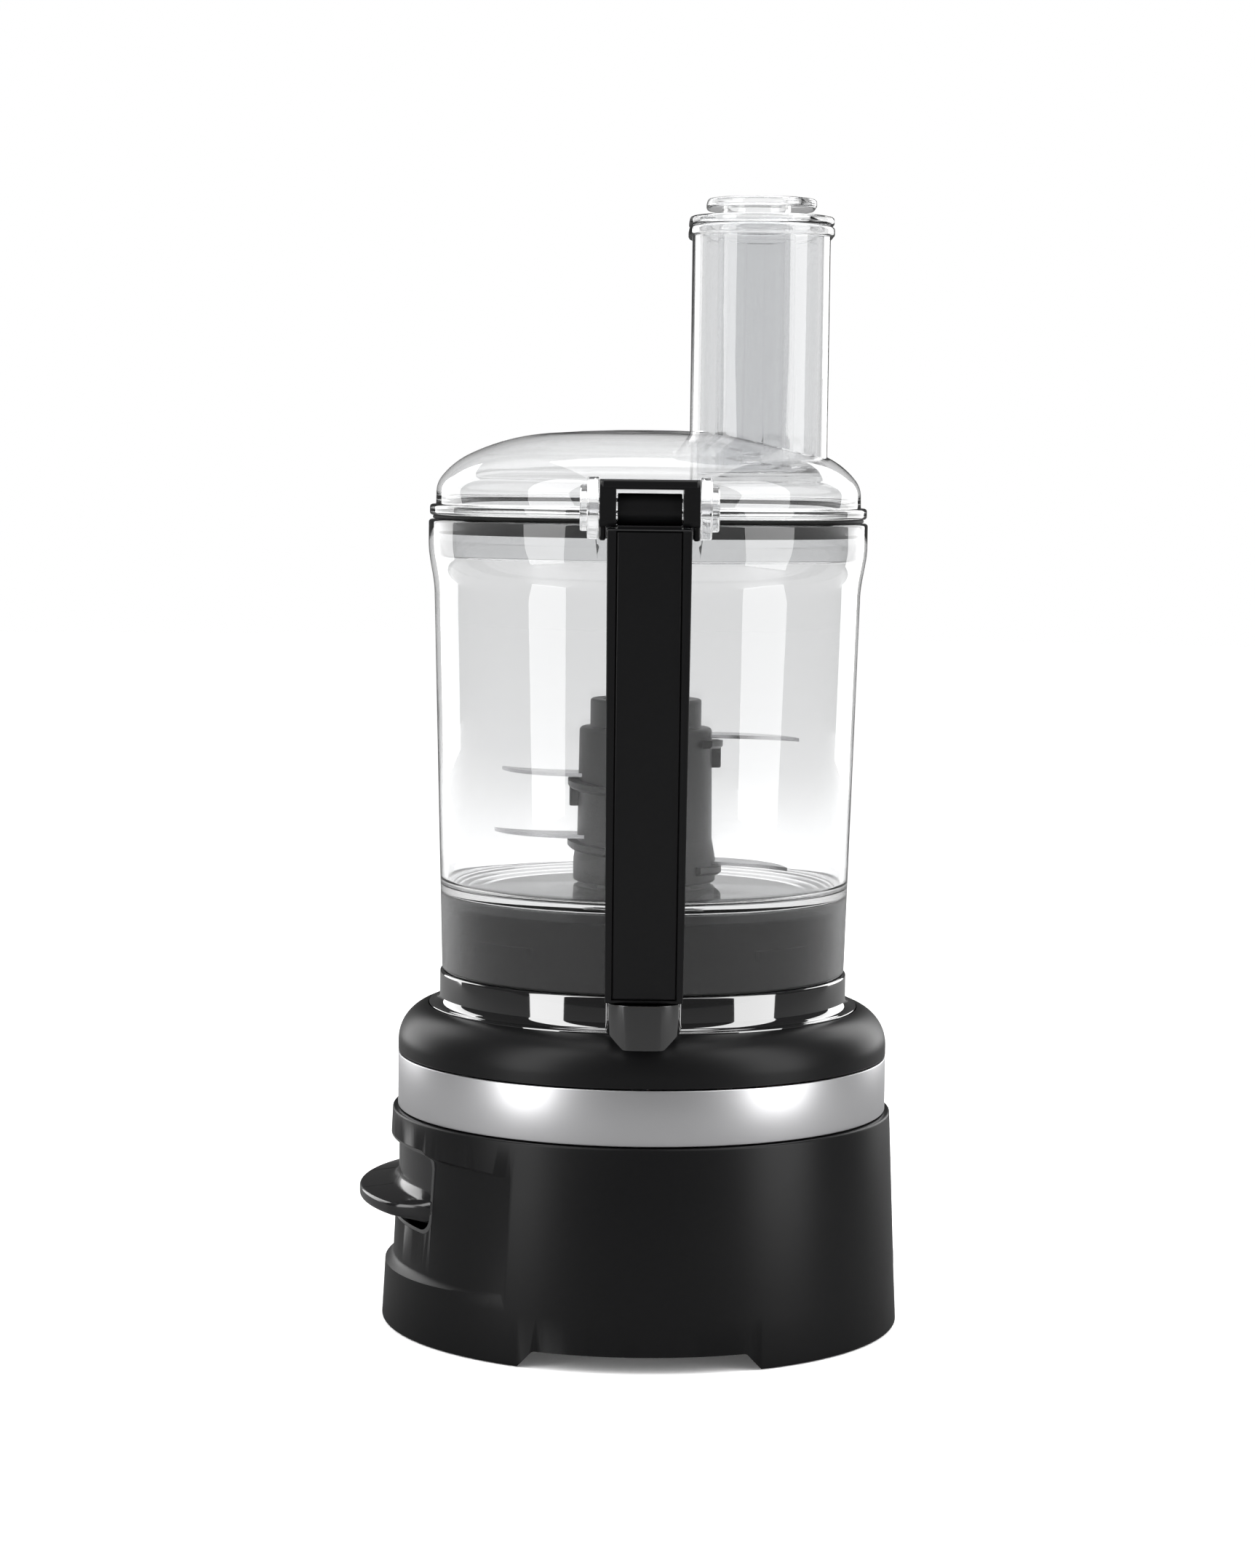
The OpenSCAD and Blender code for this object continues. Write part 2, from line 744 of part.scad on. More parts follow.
module run_key() {
    color("#202123") key(-mid_key_w, mid_key_w);
}

module pulse_key() {
    color("#202123") key(mid_key_w, keys_w);
}

module key_spring(x) {
    len = key_back + rib_y;
    color("silver") translate([x, rib_y + 0.2, rib_z + 3]) rotate([-90, 0, 0])
        coil(2.4, 0.4, -len - 0.4, 5);
}

module off_key_spring() {
    key_spring(-side_key_x);
}

module run_key_spring() {
    key_spring(0);
}

module pulse_key_spring() {
    key_spring(side_key_x);
}

module key_switches() {
    color("#303234") for (x = [-side_key_x, 0, side_key_x])
        translate([x + 9, -key_back - fit_gap, rib_z + 3]) {
            translate([-2.9, -6, -3]) cube([5.8, 6, 6]);
            rotate([90, 0, 0]) translate([0, 0, 5.9]) cylinder(r = 1, h = -rib_y - key_back - 7.5);
        }
}

module control_board() {
    y = -key_back + 4;
    color("#23562f") {
        translate([-40, y, 38]) cube([80, 1.6, 40]);
        translate([-26, y + 1.6 - eps, 52]) cube([18, 9, 16]);
        translate([14, y + 1.6 - eps, 44]) cube([10, 12, 22]);
        translate([0, y + 1.6 - eps, 66]) rotate([-90, 0, 0]) cylinder(r = 5, h = 11);
    }
}

// ---------------------------------------------------------------- work bowl

flare_z = rim_z - flare_h;
flare_top_z = rim_z - 7;
lip_z = rim_z - 13;
chimney_in = tower_r + 1;
chimney_wall = 2.2;
function bowl_r_at(z) = bowl_r + bowl_draft * (z - bowl_z) / (flare_z - bowl_z);

// Half section of the bowl's outside, drawn inwards by o
module bowl_area(o) {
    r0 = bowl_r - o;
    r1 = bowl_r + bowl_draft - o;
    r2 = rim_r - o;
    n = 8;
    // the flare is half a wave of a cosine
    wave = [for (i = [0:n]) let (t = i / n) [r1 + (r2 - r1) * (1 - cos(180 * t)) / 2,
        flare_z + (flare_top_z - flare_z) * t]];
    polygon(concat([[0, bowl_z - 10 * o], [r0, bowl_z - 10 * o], [r0, bowl_z]], wave,
        [[r2, rim_z + o], [0, rim_z + o]]));
}

module work_bowl() {
    floor_t = bowl_wall;
    color("#dfe6ea", 0.35) union() {
        rotate_extrude() difference() {
            bowl_area(0);
            bowl_area(bowl_wall);
        }
        difference() {
            translate([0, 0, floor_z - floor_t])
                cylinder(r = bowl_r_at(floor_z) - bowl_wall + 0.2, h = floor_t);
            translate([0, 0, floor_z - 10]) cylinder(r = chimney_in, h = 20);
        }
        ring(chimney_in + chimney_wall, chimney_in, floor_z - floor_t, chimney_top);
        for (a = lug_angles) rotate(a) intersection() {
            ring(bowl_r - bowl_wall + 0.3, pedestal_r + 1.3, lug_z - 5, lug_z - 0.6);
            wedge(18, lug_z - 5, lug_z);
        }
    }
}

// ---------------------------------------------------------------- handle

bend_z = rim_z - 23;
foot_z = bowl_z + rest_gap + 0.9;
// radius of the grip's curve: upright at bend_z, and foot_reach at the handle's foot
bend_r = (pow(handle_reach - foot_reach, 2) + pow(bend_z - foot_z, 2)) / (2 * (handle_reach - foot_reach));
head_z = rim_z - 2.5;
head_low = rim_z - 24;
foot_top = foot_z + 24;
catch_top = rim_z + 13;
catch_x0 = pivot_x + 7.5;
catch_w = 23.2;
cover_t_grip = 2;
handle_screw_r = 1.6;
screw_heights = [foot_z + 12, head_z - 10];
rod_r = 1.5;
rod_low = [foot_reach - 6.5, 0, foot_z + 0.5];
rod_high = [handle_reach - 8, 0, catch_top];
rod_dir = rod_high - rod_low;
rod_tilt = atan(rod_dir[0] / rod_dir[2]);
rod_len = norm(rod_dir);

// The area inside the handle's outer curve, drawn inwards by o, in X and Z
module handle_curve(o) {
    translate([handle_reach - bend_r, bend_z]) circle(bend_r - o, $fn = 360);
}

module handle_side() {
    module band(z0, z1) {
        translate([bowl_r - 4, z0]) square([far, z1 - z0]);
    }
    intersection() {
        handle_curve(0);
        union() {
            difference() {
                band(foot_z, head_z);
                handle_curve(grip_t);
            }
            band(foot_z, foot_top);
            band(head_low, head_z);
        }
    }
}

// Side slopes of the handle, narrower by o
module handle_taper(o) {
    w1 = handle_top_w / 2 - o;
    w0 = handle_foot_w / 2 - o;
    rotate([90, 0, 90]) linear_extrude(far)
        polygon([[-w0, foot_z - 1], [w0, foot_z - 1], [w1, head_z + 1], [-w1, head_z + 1]]);
}

// A cylinder on the line of the interlock rod, between two distances from its lower end
module along_rod(r, l0, l1) {
    translate(rod_low) rotate([0, rod_tilt, 0]) translate([0, 0, l0]) cylinder(r = r, h = l1 - l0);
}

// The area of the grip's outer layer, t thick
module cover_area(t, z0, z1) {
    intersection() {
        difference() {
            handle_curve(0);
            handle_curve(t);
        }
        translate([bowl_r, z0]) square([far, z1 - z0]);
    }
}

module handle_shell() {
    lip = 4;
    color("#18181a") difference() {
        union() {
            intersection() {
                upright(60) handle_side();
                handle_taper(0);
            }
            // catch between the latch arms: a step with a rounded bar on it
            upright(catch_w) {
                translate([catch_x0, head_z - eps]) square([handle_reach - 3 - catch_x0, lip + eps]);
                translate([catch_x0, head_z + lip - eps])
                    square([handle_reach - 11 - catch_x0, catch_top - head_z - lip + eps]);
                translate([handle_reach - 11, (catch_top + head_z + lip) / 2])
                    circle((catch_top - head_z - lip) / 2);
            }
        }
        rotate_extrude() bowl_area(-fit_gap);
        upright(cover_w) cover_area(cover_t_grip, foot_z - 1, head_z + 1);
        // the hollow behind the cover
        upright(cover_w - 4) difference() {
            intersection() {
                handle_curve(cover_t_grip - eps);
                translate([bowl_r, foot_top]) square([far, head_low + 10 - foot_top]);
            }
            handle_curve(grip_t - 2.2);
        }
        along_rod(rod_r + 0.08, -3, rod_len + 3);
        for (z = screw_heights) translate([bowl_r, 0, z]) rotate([0, 90, 0])
            cylinder(r = handle_screw_r, h = 22);
    }
}

module handle_cover() {
    color("#141416") upright(cover_w - 2 * fit_gap)
        cover_area(cover_t_grip - fit_gap, foot_z + fit_gap, head_z - fit_gap);
}

module handle_screws() {
    color("silver") for (z = screw_heights) translate([bowl_r_at(z) + 3.2, 0, z])
        rotate([0, 90, 0]) cylinder(r = handle_screw_r, h = 13);
}

module interlock_rod() {
    color("#c8c8c4") {
        along_rod(rod_r, 0, rod_len - rest_gap);
        along_rod(3, 33, 35);
    }
}

module rod_spring() {
    color("silver") translate(rod_low) rotate([0, rod_tilt, 0]) translate([0, 0, 25.2])
        coil(2.3, 0.4, 7.6, 4);
}

// ---------------------------------------------------------------- lid

dome_r = rim_r - 3;
dome_arcs = [484, 85, 31, 10];
dome_ends = [4.7, 26, 52, 88];
dome_steps = [2, 6, 6, 5];
lip_r = rim_r - bowl_wall - 0.4;
pivot_z = flange_z + flange_t;
ear_in = latch_w / 2 + 0.3;
ear_t = 4.4;

function dome_start(i) = i == 0 ? 0 : dome_ends[i - 1];
// centres of the arcs, counted from where the first arc starts, with the crown at height 0
function dome_centre(i) = i == 0 ? [0, -dome_arcs[0]] : dome_centre(i - 1)
    + (dome_arcs[i - 1] - dome_arcs[i]) * [sin(dome_start(i)), cos(dome_start(i))];
dome_end = dome_centre(3) + dome_arcs[3] * [sin(dome_ends[3]), cos(dome_ends[3])];
crown_z = dome_z + dome_wall_h - dome_end[1];

// Half section of the lid's dome, drawn inwards by o
module dome_area(o) {
    x0 = dome_r - dome_end[0];
    curve = [for (i = [0:3]) for (k = [(i == 0 ? 0 : 1):dome_steps[i]])
        let (a = dome_start(i) + (dome_ends[i] - dome_start(i)) * k / dome_steps[i],
            c = dome_centre(i), r = dome_arcs[i] - o)
        [x0 + c[0] + r * sin(a), crown_z + c[1] + r * cos(a)]];
    polygon(concat([[0, crown_z - o]], curve, [[dome_r + 0.3 - o, flange_z - 20 * o],
        [0, flange_z - 20 * o]]));
}

module tube_solid(r, z0, z1) {
    translate([0, tube_y, z0]) linear_extrude(z1 - z0) stadium(r, tube_span);
}

tube_low = crown_z - 18;
lip_h = 4;

module lid_ear() {
    translate([0, ear_in + ear_t / 2, 0]) upright(ear_t) {
        translate([pivot_x, pivot_z]) circle(11.5);
        translate([dome_r - 8, flange_z + 0.2]) square([pivot_x - dome_r + 8, 12]);
    }
    translate([0, ear_in + ear_t + 1.2, 0]) upright(2.6) translate([pivot_x, pivot_z]) circle(8.5);
}

module lid() {
    color("#dfe6ea", 0.35) difference() {
        union() {
            difference() {
                union() {
                    rotate_extrude() dome_area(0);
                    ring(rim_r - 0.5, 40, flange_z, flange_z + flange_t);
                    lid_ear();
                    mirror([0, 1, 0]) lid_ear();
                }
                rotate_extrude() dome_area(lid_wall);
            }
            ring(lip_r - 1, lip_r - 1 - lid_wall, lip_z, flange_z + 2);
            tube_solid(tube_r, tube_low, tube_top);
            tube_solid(tube_r + 1.6, tube_top - lip_h, tube_top);
        }
        tube_solid(tube_r - tube_wall, tube_low - 1, tube_top + 1);
        translate([pivot_x, far, pivot_z]) rotate([90, 0, 0]) cylinder(r = latch_pin_r, h = 2 * far);
    }
}

module lid_gasket() {
    color("#0f0f10") ring(lip_r, lip_r - 1 + fit_gap, rim_z - 4, flange_z);
}

module latch_pins() {
    color("#c9ccd0") for (s = [-1, 1]) translate([pivot_x, s * (ear_in + ear_t - 0.2), pivot_z])
        rotate([s * 90, 0, 0]) cylinder(r = latch_pin_r, h = ear_t + 5.4);
}

// ---------------------------------------------------------------- latch

latch_top = catch_top + 5;
latch_x1 = handle_reach - 3.5;

module latch() {
    arm_w = (latch_w - catch_w) / 2 - 0.6;
    arm_y = (latch_w - arm_w) / 2;
    knuckle = 6.5;
    corner = 5;
    module side(z0) {
        translate([pivot_x, pivot_z]) circle(knuckle);
        translate([pivot_x, z0]) square([latch_x1 - pivot_x, latch_top - corner - z0]);
        translate([pivot_x, z0]) square([latch_x1 - corner - pivot_x, latch_top - z0]);
        translate([latch_x1 - corner, latch_top - corner]) circle(corner);
    }
    color("#141416") difference() {
        union() {
            for (s = [-1, 1]) {
                translate([0, s * arm_y, 0]) upright(arm_w) side(rim_z + 0.8);
                translate([0, s * (latch_w / 2 - 1.1), 0]) upright(2.2)
                    translate([pivot_x + 2, rim_z - 4]) square([latch_x1 - pivot_x - 4, 6]);
            }
            intersection() {
                upright(latch_w - 1) side(catch_top + 0.4);
                translate([pivot_x - 1, -far, catch_top + 0.4]) cube([far, 2 * far, far]);
            }
        }
        translate([pivot_x, far, pivot_z]) rotate([90, 0, 0])
            cylinder(r = latch_pin_r + run_gap, h = 2 * far);
    }
}

// ---------------------------------------------------------------- pushers

big_r = tube_r - tube_wall - slide_gap;
big_low = tube_low + 2;
cap_z = tube_top + rest_gap;
cap_h = 3.4;
sleeve_y = tube_y - 2.3;
sleeve_in = small_r + slide_gap;
rim_cap_z = cap_z + cap_h + 3.4;

module food_pusher() {
    color("#dfe6ea", 0.35) difference() {
        union() {
            difference() {
                tube_solid(big_r, big_low, cap_z + cap_h);
                tube_solid(big_r - pusher_wall, big_low + pusher_wall, cap_z + cap_h - pusher_wall);
            }
            tube_solid(tube_r + 1.4, cap_z, cap_z + cap_h);
            translate([0, sleeve_y, big_low])
                cylinder(r = sleeve_in + pusher_wall, h = cap_z + cap_h - big_low);
        }
        translate([0, sleeve_y, big_low - 1]) cylinder(r = sleeve_in, h = far);
        translate([big_r + tube_span / 2 - 7, tube_y, cap_z - 3]) cylinder(r = 1.5, h = 12);
    }
}

module small_pusher() {
    low = big_low + 1;
    color("#dfe6ea", 0.35) difference() {
        union() {
            translate([0, sleeve_y, low]) cylinder(r = small_r, h = rim_cap_z + 1 - low);
            translate([0, tube_y, rim_cap_z]) linear_extrude(3.6) stadium(21.2, tube_span - 6);
        }
        translate([0, sleeve_y, low + pusher_wall]) cylinder(r = small_r - pusher_wall, h = far);
    }
}

// ---------------------------------------------------------------- blade unit

hub_z = floor_z + 0.8;
hub_shoulder = hub_z + hub_h - 11;
sleeve_r = chimney_in + chimney_wall + 1.3;
// height above the hub's foot and heading of each blade, from the top one down
blade_z = [57, 41.5, 17.5, 7.5];
blade_turn = [88, 262, 270, 76];

// Plan of a blade: a swept crescent with its root in the hub's wall
module blade_plan() {
    difference() {
        translate([24, -26]) circle(38);
        translate([30, -52]) circle(48.6);
        circle(hub_r - 4);
        translate([-far, -far]) square([far + 18, 2 * far]);
    }
}

module blade_solid(i) {
    translate([0, 0, hub_z + blade_z[i]]) rotate(blade_turn[i]) linear_extrude(blade_t) blade_plan();
}

module blade(i) {
    color("#c4c7ca") blade_solid(i);
}

module top_blade() {
    blade(0);
}

module upper_blade() {
    blade(1);
}

module lower_blade() {
    blade(2);
}

module bottom_blade() {
    blade(3);
}

module blade_hub() {
    skin = 4.5;
    ledge = 3;
    blade_seat = 0.4;
    color("#38393b") difference() {
        union() {
            rotate_extrude() {
                polygon([[hub_r + 1.5 - skin, hub_z], [hub_r + 1.5, hub_z], [hub_r + 1.5, hub_z + 9],
                    [hub_r, hub_z + 17], [hub_r - 0.5, hub_shoulder], [14, hub_shoulder],
                    [14, hub_shoulder - 4], [hub_r - skin, hub_shoulder - 4], [hub_r - skin, hub_z + 12]]);
                translate([sleeve_r, hub_z]) square([2, hub_shoulder - hub_z - 2]);
                translate([0, hub_shoulder - 4.6]) square([sleeve_r + 2, 4.6]);
                translate([17, hub_shoulder - 1]) square([4.8, 12]);
                translate([0, hub_shoulder - 1]) square([13, 8]);
            }
            for (i = [0:3]) translate([0, 0, hub_z + blade_z[i] - ledge]) rotate(blade_turn[i] - 40)
                rotate_extrude(angle = 160) translate([hub_r - 2, 0]) square([5.4, ledge + blade_seat]);
        }
        translate([0, 0, hub_shoulder - 10]) cylinder(r = hex_r + 0.25, h = 40, $fn = 6);
        for (i = [0:3]) blade_solid(i);
    }
}

// ---------------------------------------------------------------- assembly

base_housing();
bottom_cover();
rubber_feet();
cover_screws();
trim_band();
top_housing();
bowl_seat();
lock_sensor();
chassis_plate();
lower_bearing();
upper_bearing();
cord_gland();
motor_frame();
field_core();
field_coils();
carbon_brushes();
control_board();
key_frame();
key_rod();
key_switches();
off_key();
run_key();
pulse_key();
off_key_spring();
run_key_spring();
pulse_key_spring();
drive_belt();
motor_shaft();
armature();
armature_windings();
commutator();
cooling_fan();
motor_pulley();
drive_pulley();
drive_shaft();
drive_coupling();
blade_hub();
top_blade();
upper_blade();
lower_blade();
bottom_blade();
work_bowl();
handle_shell();
handle_cover();
handle_screws();
interlock_rod();
rod_spring();
lid();
lid_gasket();
latch_pins();
latch();
food_pusher();
small_pusher();
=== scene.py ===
"""Looks for a belt driven food processor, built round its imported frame.

Sizes are in millimetres and become metres where a piece is made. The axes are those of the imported
model: +Z up along the bowl's axis, the key paddles towards -Y and the bowl's handle towards +X.
"""

import logging
import math
from dataclasses import dataclass
from enum import Enum
from typing import Callable, Sequence

import bpy
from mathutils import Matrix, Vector


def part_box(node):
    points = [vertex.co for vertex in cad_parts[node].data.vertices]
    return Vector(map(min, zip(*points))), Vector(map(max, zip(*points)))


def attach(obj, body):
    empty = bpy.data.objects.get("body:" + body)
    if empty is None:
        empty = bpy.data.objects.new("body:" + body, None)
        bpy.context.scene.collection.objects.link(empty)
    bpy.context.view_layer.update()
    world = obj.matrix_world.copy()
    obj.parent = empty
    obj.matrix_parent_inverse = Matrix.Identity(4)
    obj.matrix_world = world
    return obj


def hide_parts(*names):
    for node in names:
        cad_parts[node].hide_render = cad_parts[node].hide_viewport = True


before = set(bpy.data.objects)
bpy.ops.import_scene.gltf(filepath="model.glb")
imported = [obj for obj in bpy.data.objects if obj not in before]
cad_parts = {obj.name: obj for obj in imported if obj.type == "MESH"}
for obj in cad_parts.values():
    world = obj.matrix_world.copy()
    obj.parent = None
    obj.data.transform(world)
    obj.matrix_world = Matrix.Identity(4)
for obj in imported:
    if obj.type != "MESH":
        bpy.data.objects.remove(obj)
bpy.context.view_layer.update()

LOG = logging.getLogger("food_processor")
MM = 0.001

Flat = tuple[float, float]
Corner = tuple[float, float, float]
Piece = bpy.types.Object


class Axis(Enum):
    """The direction that a slab is thick in, or that a test looks along."""

    X = 0
    Y = 1
    Z = 2


class Cut(Enum):
    """How one solid changes another."""

    ADD = "UNION"
    TAKE = "DIFFERENCE"
    KEEP = "INTERSECT"


# ------------------------------------------------------------------ outlines


def ease(t: float) -> float:
    """A step from 0 to 1 that starts and ends level."""
    return (1 - math.cos(math.pi * t)) / 2


def rounded(corners: Sequence[Corner], steps: int = 5) -> list[Flat]:
    """Rounds the corners of a closed outline.

    Args:
        corners: each corner with its radius, which may be 0.
        steps: how many pieces each rounded corner has.

    Returns:
        The outline's points, in the same order.
    """
    points: list[Flat] = []
    for i, (x, y, radius) in enumerate(corners):
        if radius <= 0:
            points.append((x, y))
            continue
        here = Vector((x, y))
        back = (Vector(corners[i - 1][:2]) - here).normalized()
        ahead = (Vector(corners[(i + 1) % len(corners)][:2]) - here).normalized()
        half = math.acos(max(-1.0, min(1.0, back.dot(ahead)))) / 2
        centre = here + (back + ahead).normalized() * (radius / math.sin(half))
        start = here + back * (radius / math.tan(half)) - centre
        turn = math.pi - 2 * half
        if back.x * ahead.y - back.y * ahead.x > 0:
            turn = -turn
        for k in range(steps + 1):
            a = turn * k / steps
            points.append((centre.x + start.x * math.cos(a) - start.y * math.sin(a),
                           centre.y + start.x * math.sin(a) + start.y * math.cos(a)))
    return points


def arc(centre: Flat, radius: float, first: float, last: float, steps: int = 12) -> list[Flat]:
    """Points on an arc.

    Args:
        centre: the arc's centre.
        radius: its radius.
        first: the angle where it starts, in degrees.
        last: the angle where it ends.
        steps: how many pieces it has.

    Returns:
        The points, both ends included.
    """
    angles = [math.radians(first + (last - first) * k / steps) for k in range(steps + 1)]
    return [(centre[0] + radius * math.cos(a), centre[1] + radius * math.sin(a)) for a in angles]


def box_outline(low: Flat, high: Flat, radius: float, steps: int = 6) -> list[Flat]:
    """A rectangle with round corners.

    Args:
        low: the corner with the least coordinates.
        high: the corner opposite.
        radius: the corners' radius.
        steps: how many pieces each corner has.

    Returns:
        The outline.
    """
    return rounded([(low[0], low[1], radius), (high[0], low[1], radius),
                    (high[0], high[1], radius), (low[0], high[1], radius)], steps)


def stadium(radius: float, span: float, centre: Flat, steps: int = 28) -> list[Flat]:
    """A bar with round ends along X, as wide as two radii.

    Args:
        radius: the radius of both ends.
        span: how far apart their centres are.
        centre: the bar's middle.
        steps: how many pieces each end has.

    Returns:
        The outline.
    """
    x, y = centre
    return (arc((x + span / 2, y), radius, -90, 90, steps)
            + arc((x - span / 2, y), radius, 90, 270, steps))


# ------------------------------------------------------------------ the bench


def clear_bench() -> None:
    """Leaves edit mode and deselects everything."""
    if bpy.context.object and bpy.context.object.mode != "OBJECT":
        bpy.ops.object.mode_set(mode="OBJECT")
    bpy.ops.object.select_all(action="DESELECT")


def take_up(piece: Piece) -> None:
    """Makes one piece the active and only selected one.

    Args:
        piece: the piece.
    """
    clear_bench()
    bpy.context.view_layer.objects.active = piece
    piece.select_set(True)


def place(axis: Axis, u: float, v: float, w: float) -> Vector:
    """A point from two flat coordinates and the one along the axis.

    Args:
        axis: the axis across the flat outline.
        u: the first flat coordinate, in millimetres.
        v: the second one.
        w: the coordinate along the axis.

    Returns:
        The point in metres.
    """
    spots = {Axis.X: (w, u, v), Axis.Y: (u, w, v), Axis.Z: (u, v, w)}
    return Vector(spots[axis]) * MM


def draw_wire(points: Sequence[Vector], closed: bool) -> None:
    """Draws a line of edges by extruding one vertex from point to point, in edit mode.

    Args:
        points: where the line goes, in metres.
        closed: whether it comes back to its first point.
    """
    bpy.ops.mesh.primitive_plane_add(size=MM, location=points[0])
    if bpy.context.object.mode != "EDIT":
        bpy.ops.object.mode_set(mode="EDIT")
        bpy.ops.mesh.select_all(action="SELECT")
    bpy.ops.mesh.merge(type="CENTER")
    here = points[0]
    for point in [*points[1:], points[0]] if closed else points[1:]:
        bpy.ops.mesh.extrude_vertices_move(TRANSFORM_OT_translate={"value": point - here})
        here = point


def weld() -> None:
    """Joins points that lie on each other and turns all faces outwards, in edit mode."""
    bpy.ops.mesh.select_all(action="SELECT")
    bpy.ops.mesh.remove_doubles(threshold=MM * 0.002)
    bpy.ops.mesh.normals_make_consistent(inside=False)


def smooth(piece: Piece, angle: float = 32.0) -> Piece:
    """Shades a piece smooth, apart from its sharp edges.

    Args:
        piece: the piece.
        angle: the least turn of a sharp edge, in degrees.

    Returns:
        The same piece.
    """
    take_up(piece)
    bpy.ops.object.shade_smooth_by_angle(angle=math.radians(angle))
    return piece


def off_bench(name: str) -> Piece:
    """Names the piece that is on the bench and puts its place into its mesh.

    Args:
        name: the piece's name.

    Returns:
        The piece, at the origin, unturned and unscaled.
    """
    bpy.ops.object.mode_set(mode="OBJECT")
    piece = bpy.context.object
    piece.name = piece.data.name = name
    bpy.ops.object.transform_apply(location=True, rotation=True, scale=True)
    return smooth(piece)


def turned(name: str, profile: Sequence[Flat], sides: int = 160, centre: Flat = (0.0, 0.0),
           closed: bool = True) -> Piece:
    """Turns a profile about a vertical axis, as on a lathe.

    Args:
        name: the piece's name.
        profile: radius and height of each point, in millimetres.
        sides: steps of the turn.
        centre: where the axis stands, in millimetres.
        closed: False for a profile that starts and ends on the axis.

    Returns:
        The closed solid.
    """
    clear_bench()
    draw_wire([Vector((centre[0] + r, centre[1], z)) * MM for r, z in profile], closed)
    bpy.ops.mesh.select_all(action="SELECT")
    bpy.ops.mesh.remove_doubles(threshold=MM * 0.002)
    bpy.ops.mesh.spin(steps=sides, angle=math.tau, axis=(0, 0, 1),
                      center=(centre[0] * MM, centre[1] * MM, 0))
    weld()
    return off_bench(name)


def slab(name: str, outline: Sequence[Flat], axis: Axis, low: float, high: float) -> Piece:
    """A plate cut to an outline.

    Args:
        name: the piece's name.
        outline: the plate's points in the plane across the axis, in millimetres.
        axis: the direction it is thick in.
        low: where it starts along the axis.
        high: where it ends along the axis.

    Returns:
        The closed solid.
    """
    clear_bench()
    draw_wire([place(axis, u, v, low) for u, v in outline], closed=True)
    bpy.ops.mesh.select_all(action="SELECT")
    bpy.ops.mesh.remove_doubles(threshold=MM * 0.002)
    bpy.ops.mesh.edge_face_add()
    bpy.ops.mesh.extrude_region_move(
        TRANSFORM_OT_translate={"value": place(axis, 0, 0, high - low)})
    weld()
    return off_bench(name)


def lofted(name: str, sections: Sequence[Sequence[Vector]]) -> Piece:
    """Bridges a row of closed outlines, all with the same count of points, and caps both ends.

    Args:
        name: the piece's name.
        sections: the outlines, in metres, in order.

    Returns:
        The closed solid.
    """
    clear_bench()
    for section in sections:
        draw_wire(section, closed=True)
    bpy.ops.mesh.select_all(action="SELECT")
    bpy.ops.mesh.remove_doubles(threshold=MM * 0.002)
    bpy.ops.mesh.bridge_edge_loops()
    for end in (sections[0], sections[-1]):
        spots = [Vector(p) for p in end]
        pick(lambda p: min((p - s).length for s in spots) < MM * 0.01)
        bpy.ops.mesh.edge_face_add()
    weld()
    return off_bench(name)


def pick(test: Callable[[Vector], bool]) -> None:
    """Selects vertices of the piece in edit mode by their place.

    Args:
        test: says whether the place of a vertex, in metres, is wanted.
    """
    bpy.ops.mesh.select_mode(type="VERT")
    bpy.ops.mesh.select_all(action="DESELECT")
    bpy.ops.object.mode_set(mode="OBJECT")
    piece = bpy.context.object
    for vertex in piece.data.vertices:
        vertex.select = test(piece.matrix_world @ vertex.co)
    bpy.ops.object.mode_set(mode="EDIT")


def modify(piece: Piece, kind: str, **settings: object) -> Piece:
    """Adds a modifier with its settings and applies it.

    Args:
        piece: the piece.
        kind: the modifier's type.
        settings: the modifier's settings by name.

    Returns:
        The same piece.
    """
    take_up(piece)
    modifier = piece.modifiers.new(kind.title(), kind)
    for key, value in settings.items():
        setattr(modifier, key, value)
    bpy.ops.object.modifier_apply(modifier=modifier.name)
    return piece


def carve(piece: Piece, tool: Piece, cut: Cut) -> Piece:
    """Adds, takes away or keeps what a tool covers, and removes the tool.

    Args:
        piece: the piece.
        tool: the solid that changes it.
        cut: whether the tool is added, taken away or kept.

    Returns:
        The same piece.
    """
    modify(piece, "BOOLEAN", object=tool, operation=cut.value, solver="EXACT")
    bpy.data.objects.remove(tool, do_unlink=True)
    return piece


def soften(piece: Piece, width: float, steps: int = 3, angle: float = 40.0) -> Piece:
    """Rounds the edges that turn by more than an angle.

    Args:
        piece: the piece to change.
        width: the rounding's width in millimetres.
        steps: its segments.
        angle: the least turn of an edge, in degrees.

    Returns:
        The same piece, shaded smooth.
    """
    modify(piece, "BEVEL", width=width * MM, segments=steps, limit_method="ANGLE",
           angle_limit=math.radians(angle), use_clamp_overlap=True, miter_outer="MITER_ARC")
    return smooth(piece, 42.0)


def twin(piece: Piece, name: str) -> Piece:
    """A copy of a piece with its own mesh.

    Args:
        piece: the piece.
        name: the copy's name.

    Returns:
        The copy.
    """
    copy = piece.copy()
    copy.data = piece.data.copy()
    copy.name = copy.data.name = name
    bpy.context.scene.collection.objects.link(copy)
    return copy


def mirrored(piece: Piece, name: str) -> Piece:
    """A copy of a piece mirrored across Y, with its faces turned outwards again.

    Args:
        piece: the piece.
        name: the copy's name.

    Returns:
        The copy.
    """
    copy = twin(piece, name)
    take_up(copy)
    bpy.ops.object.mode_set(mode="EDIT")
    bpy.ops.mesh.select_all(action="SELECT")
    bpy.ops.transform.resize(value=(1, -1, 1), center_override=(0, 0, 0))
    bpy.ops.mesh.normals_make_consistent(inside=False)
    return off_bench(name)


# ------------------------------------------------------------------ shared effects


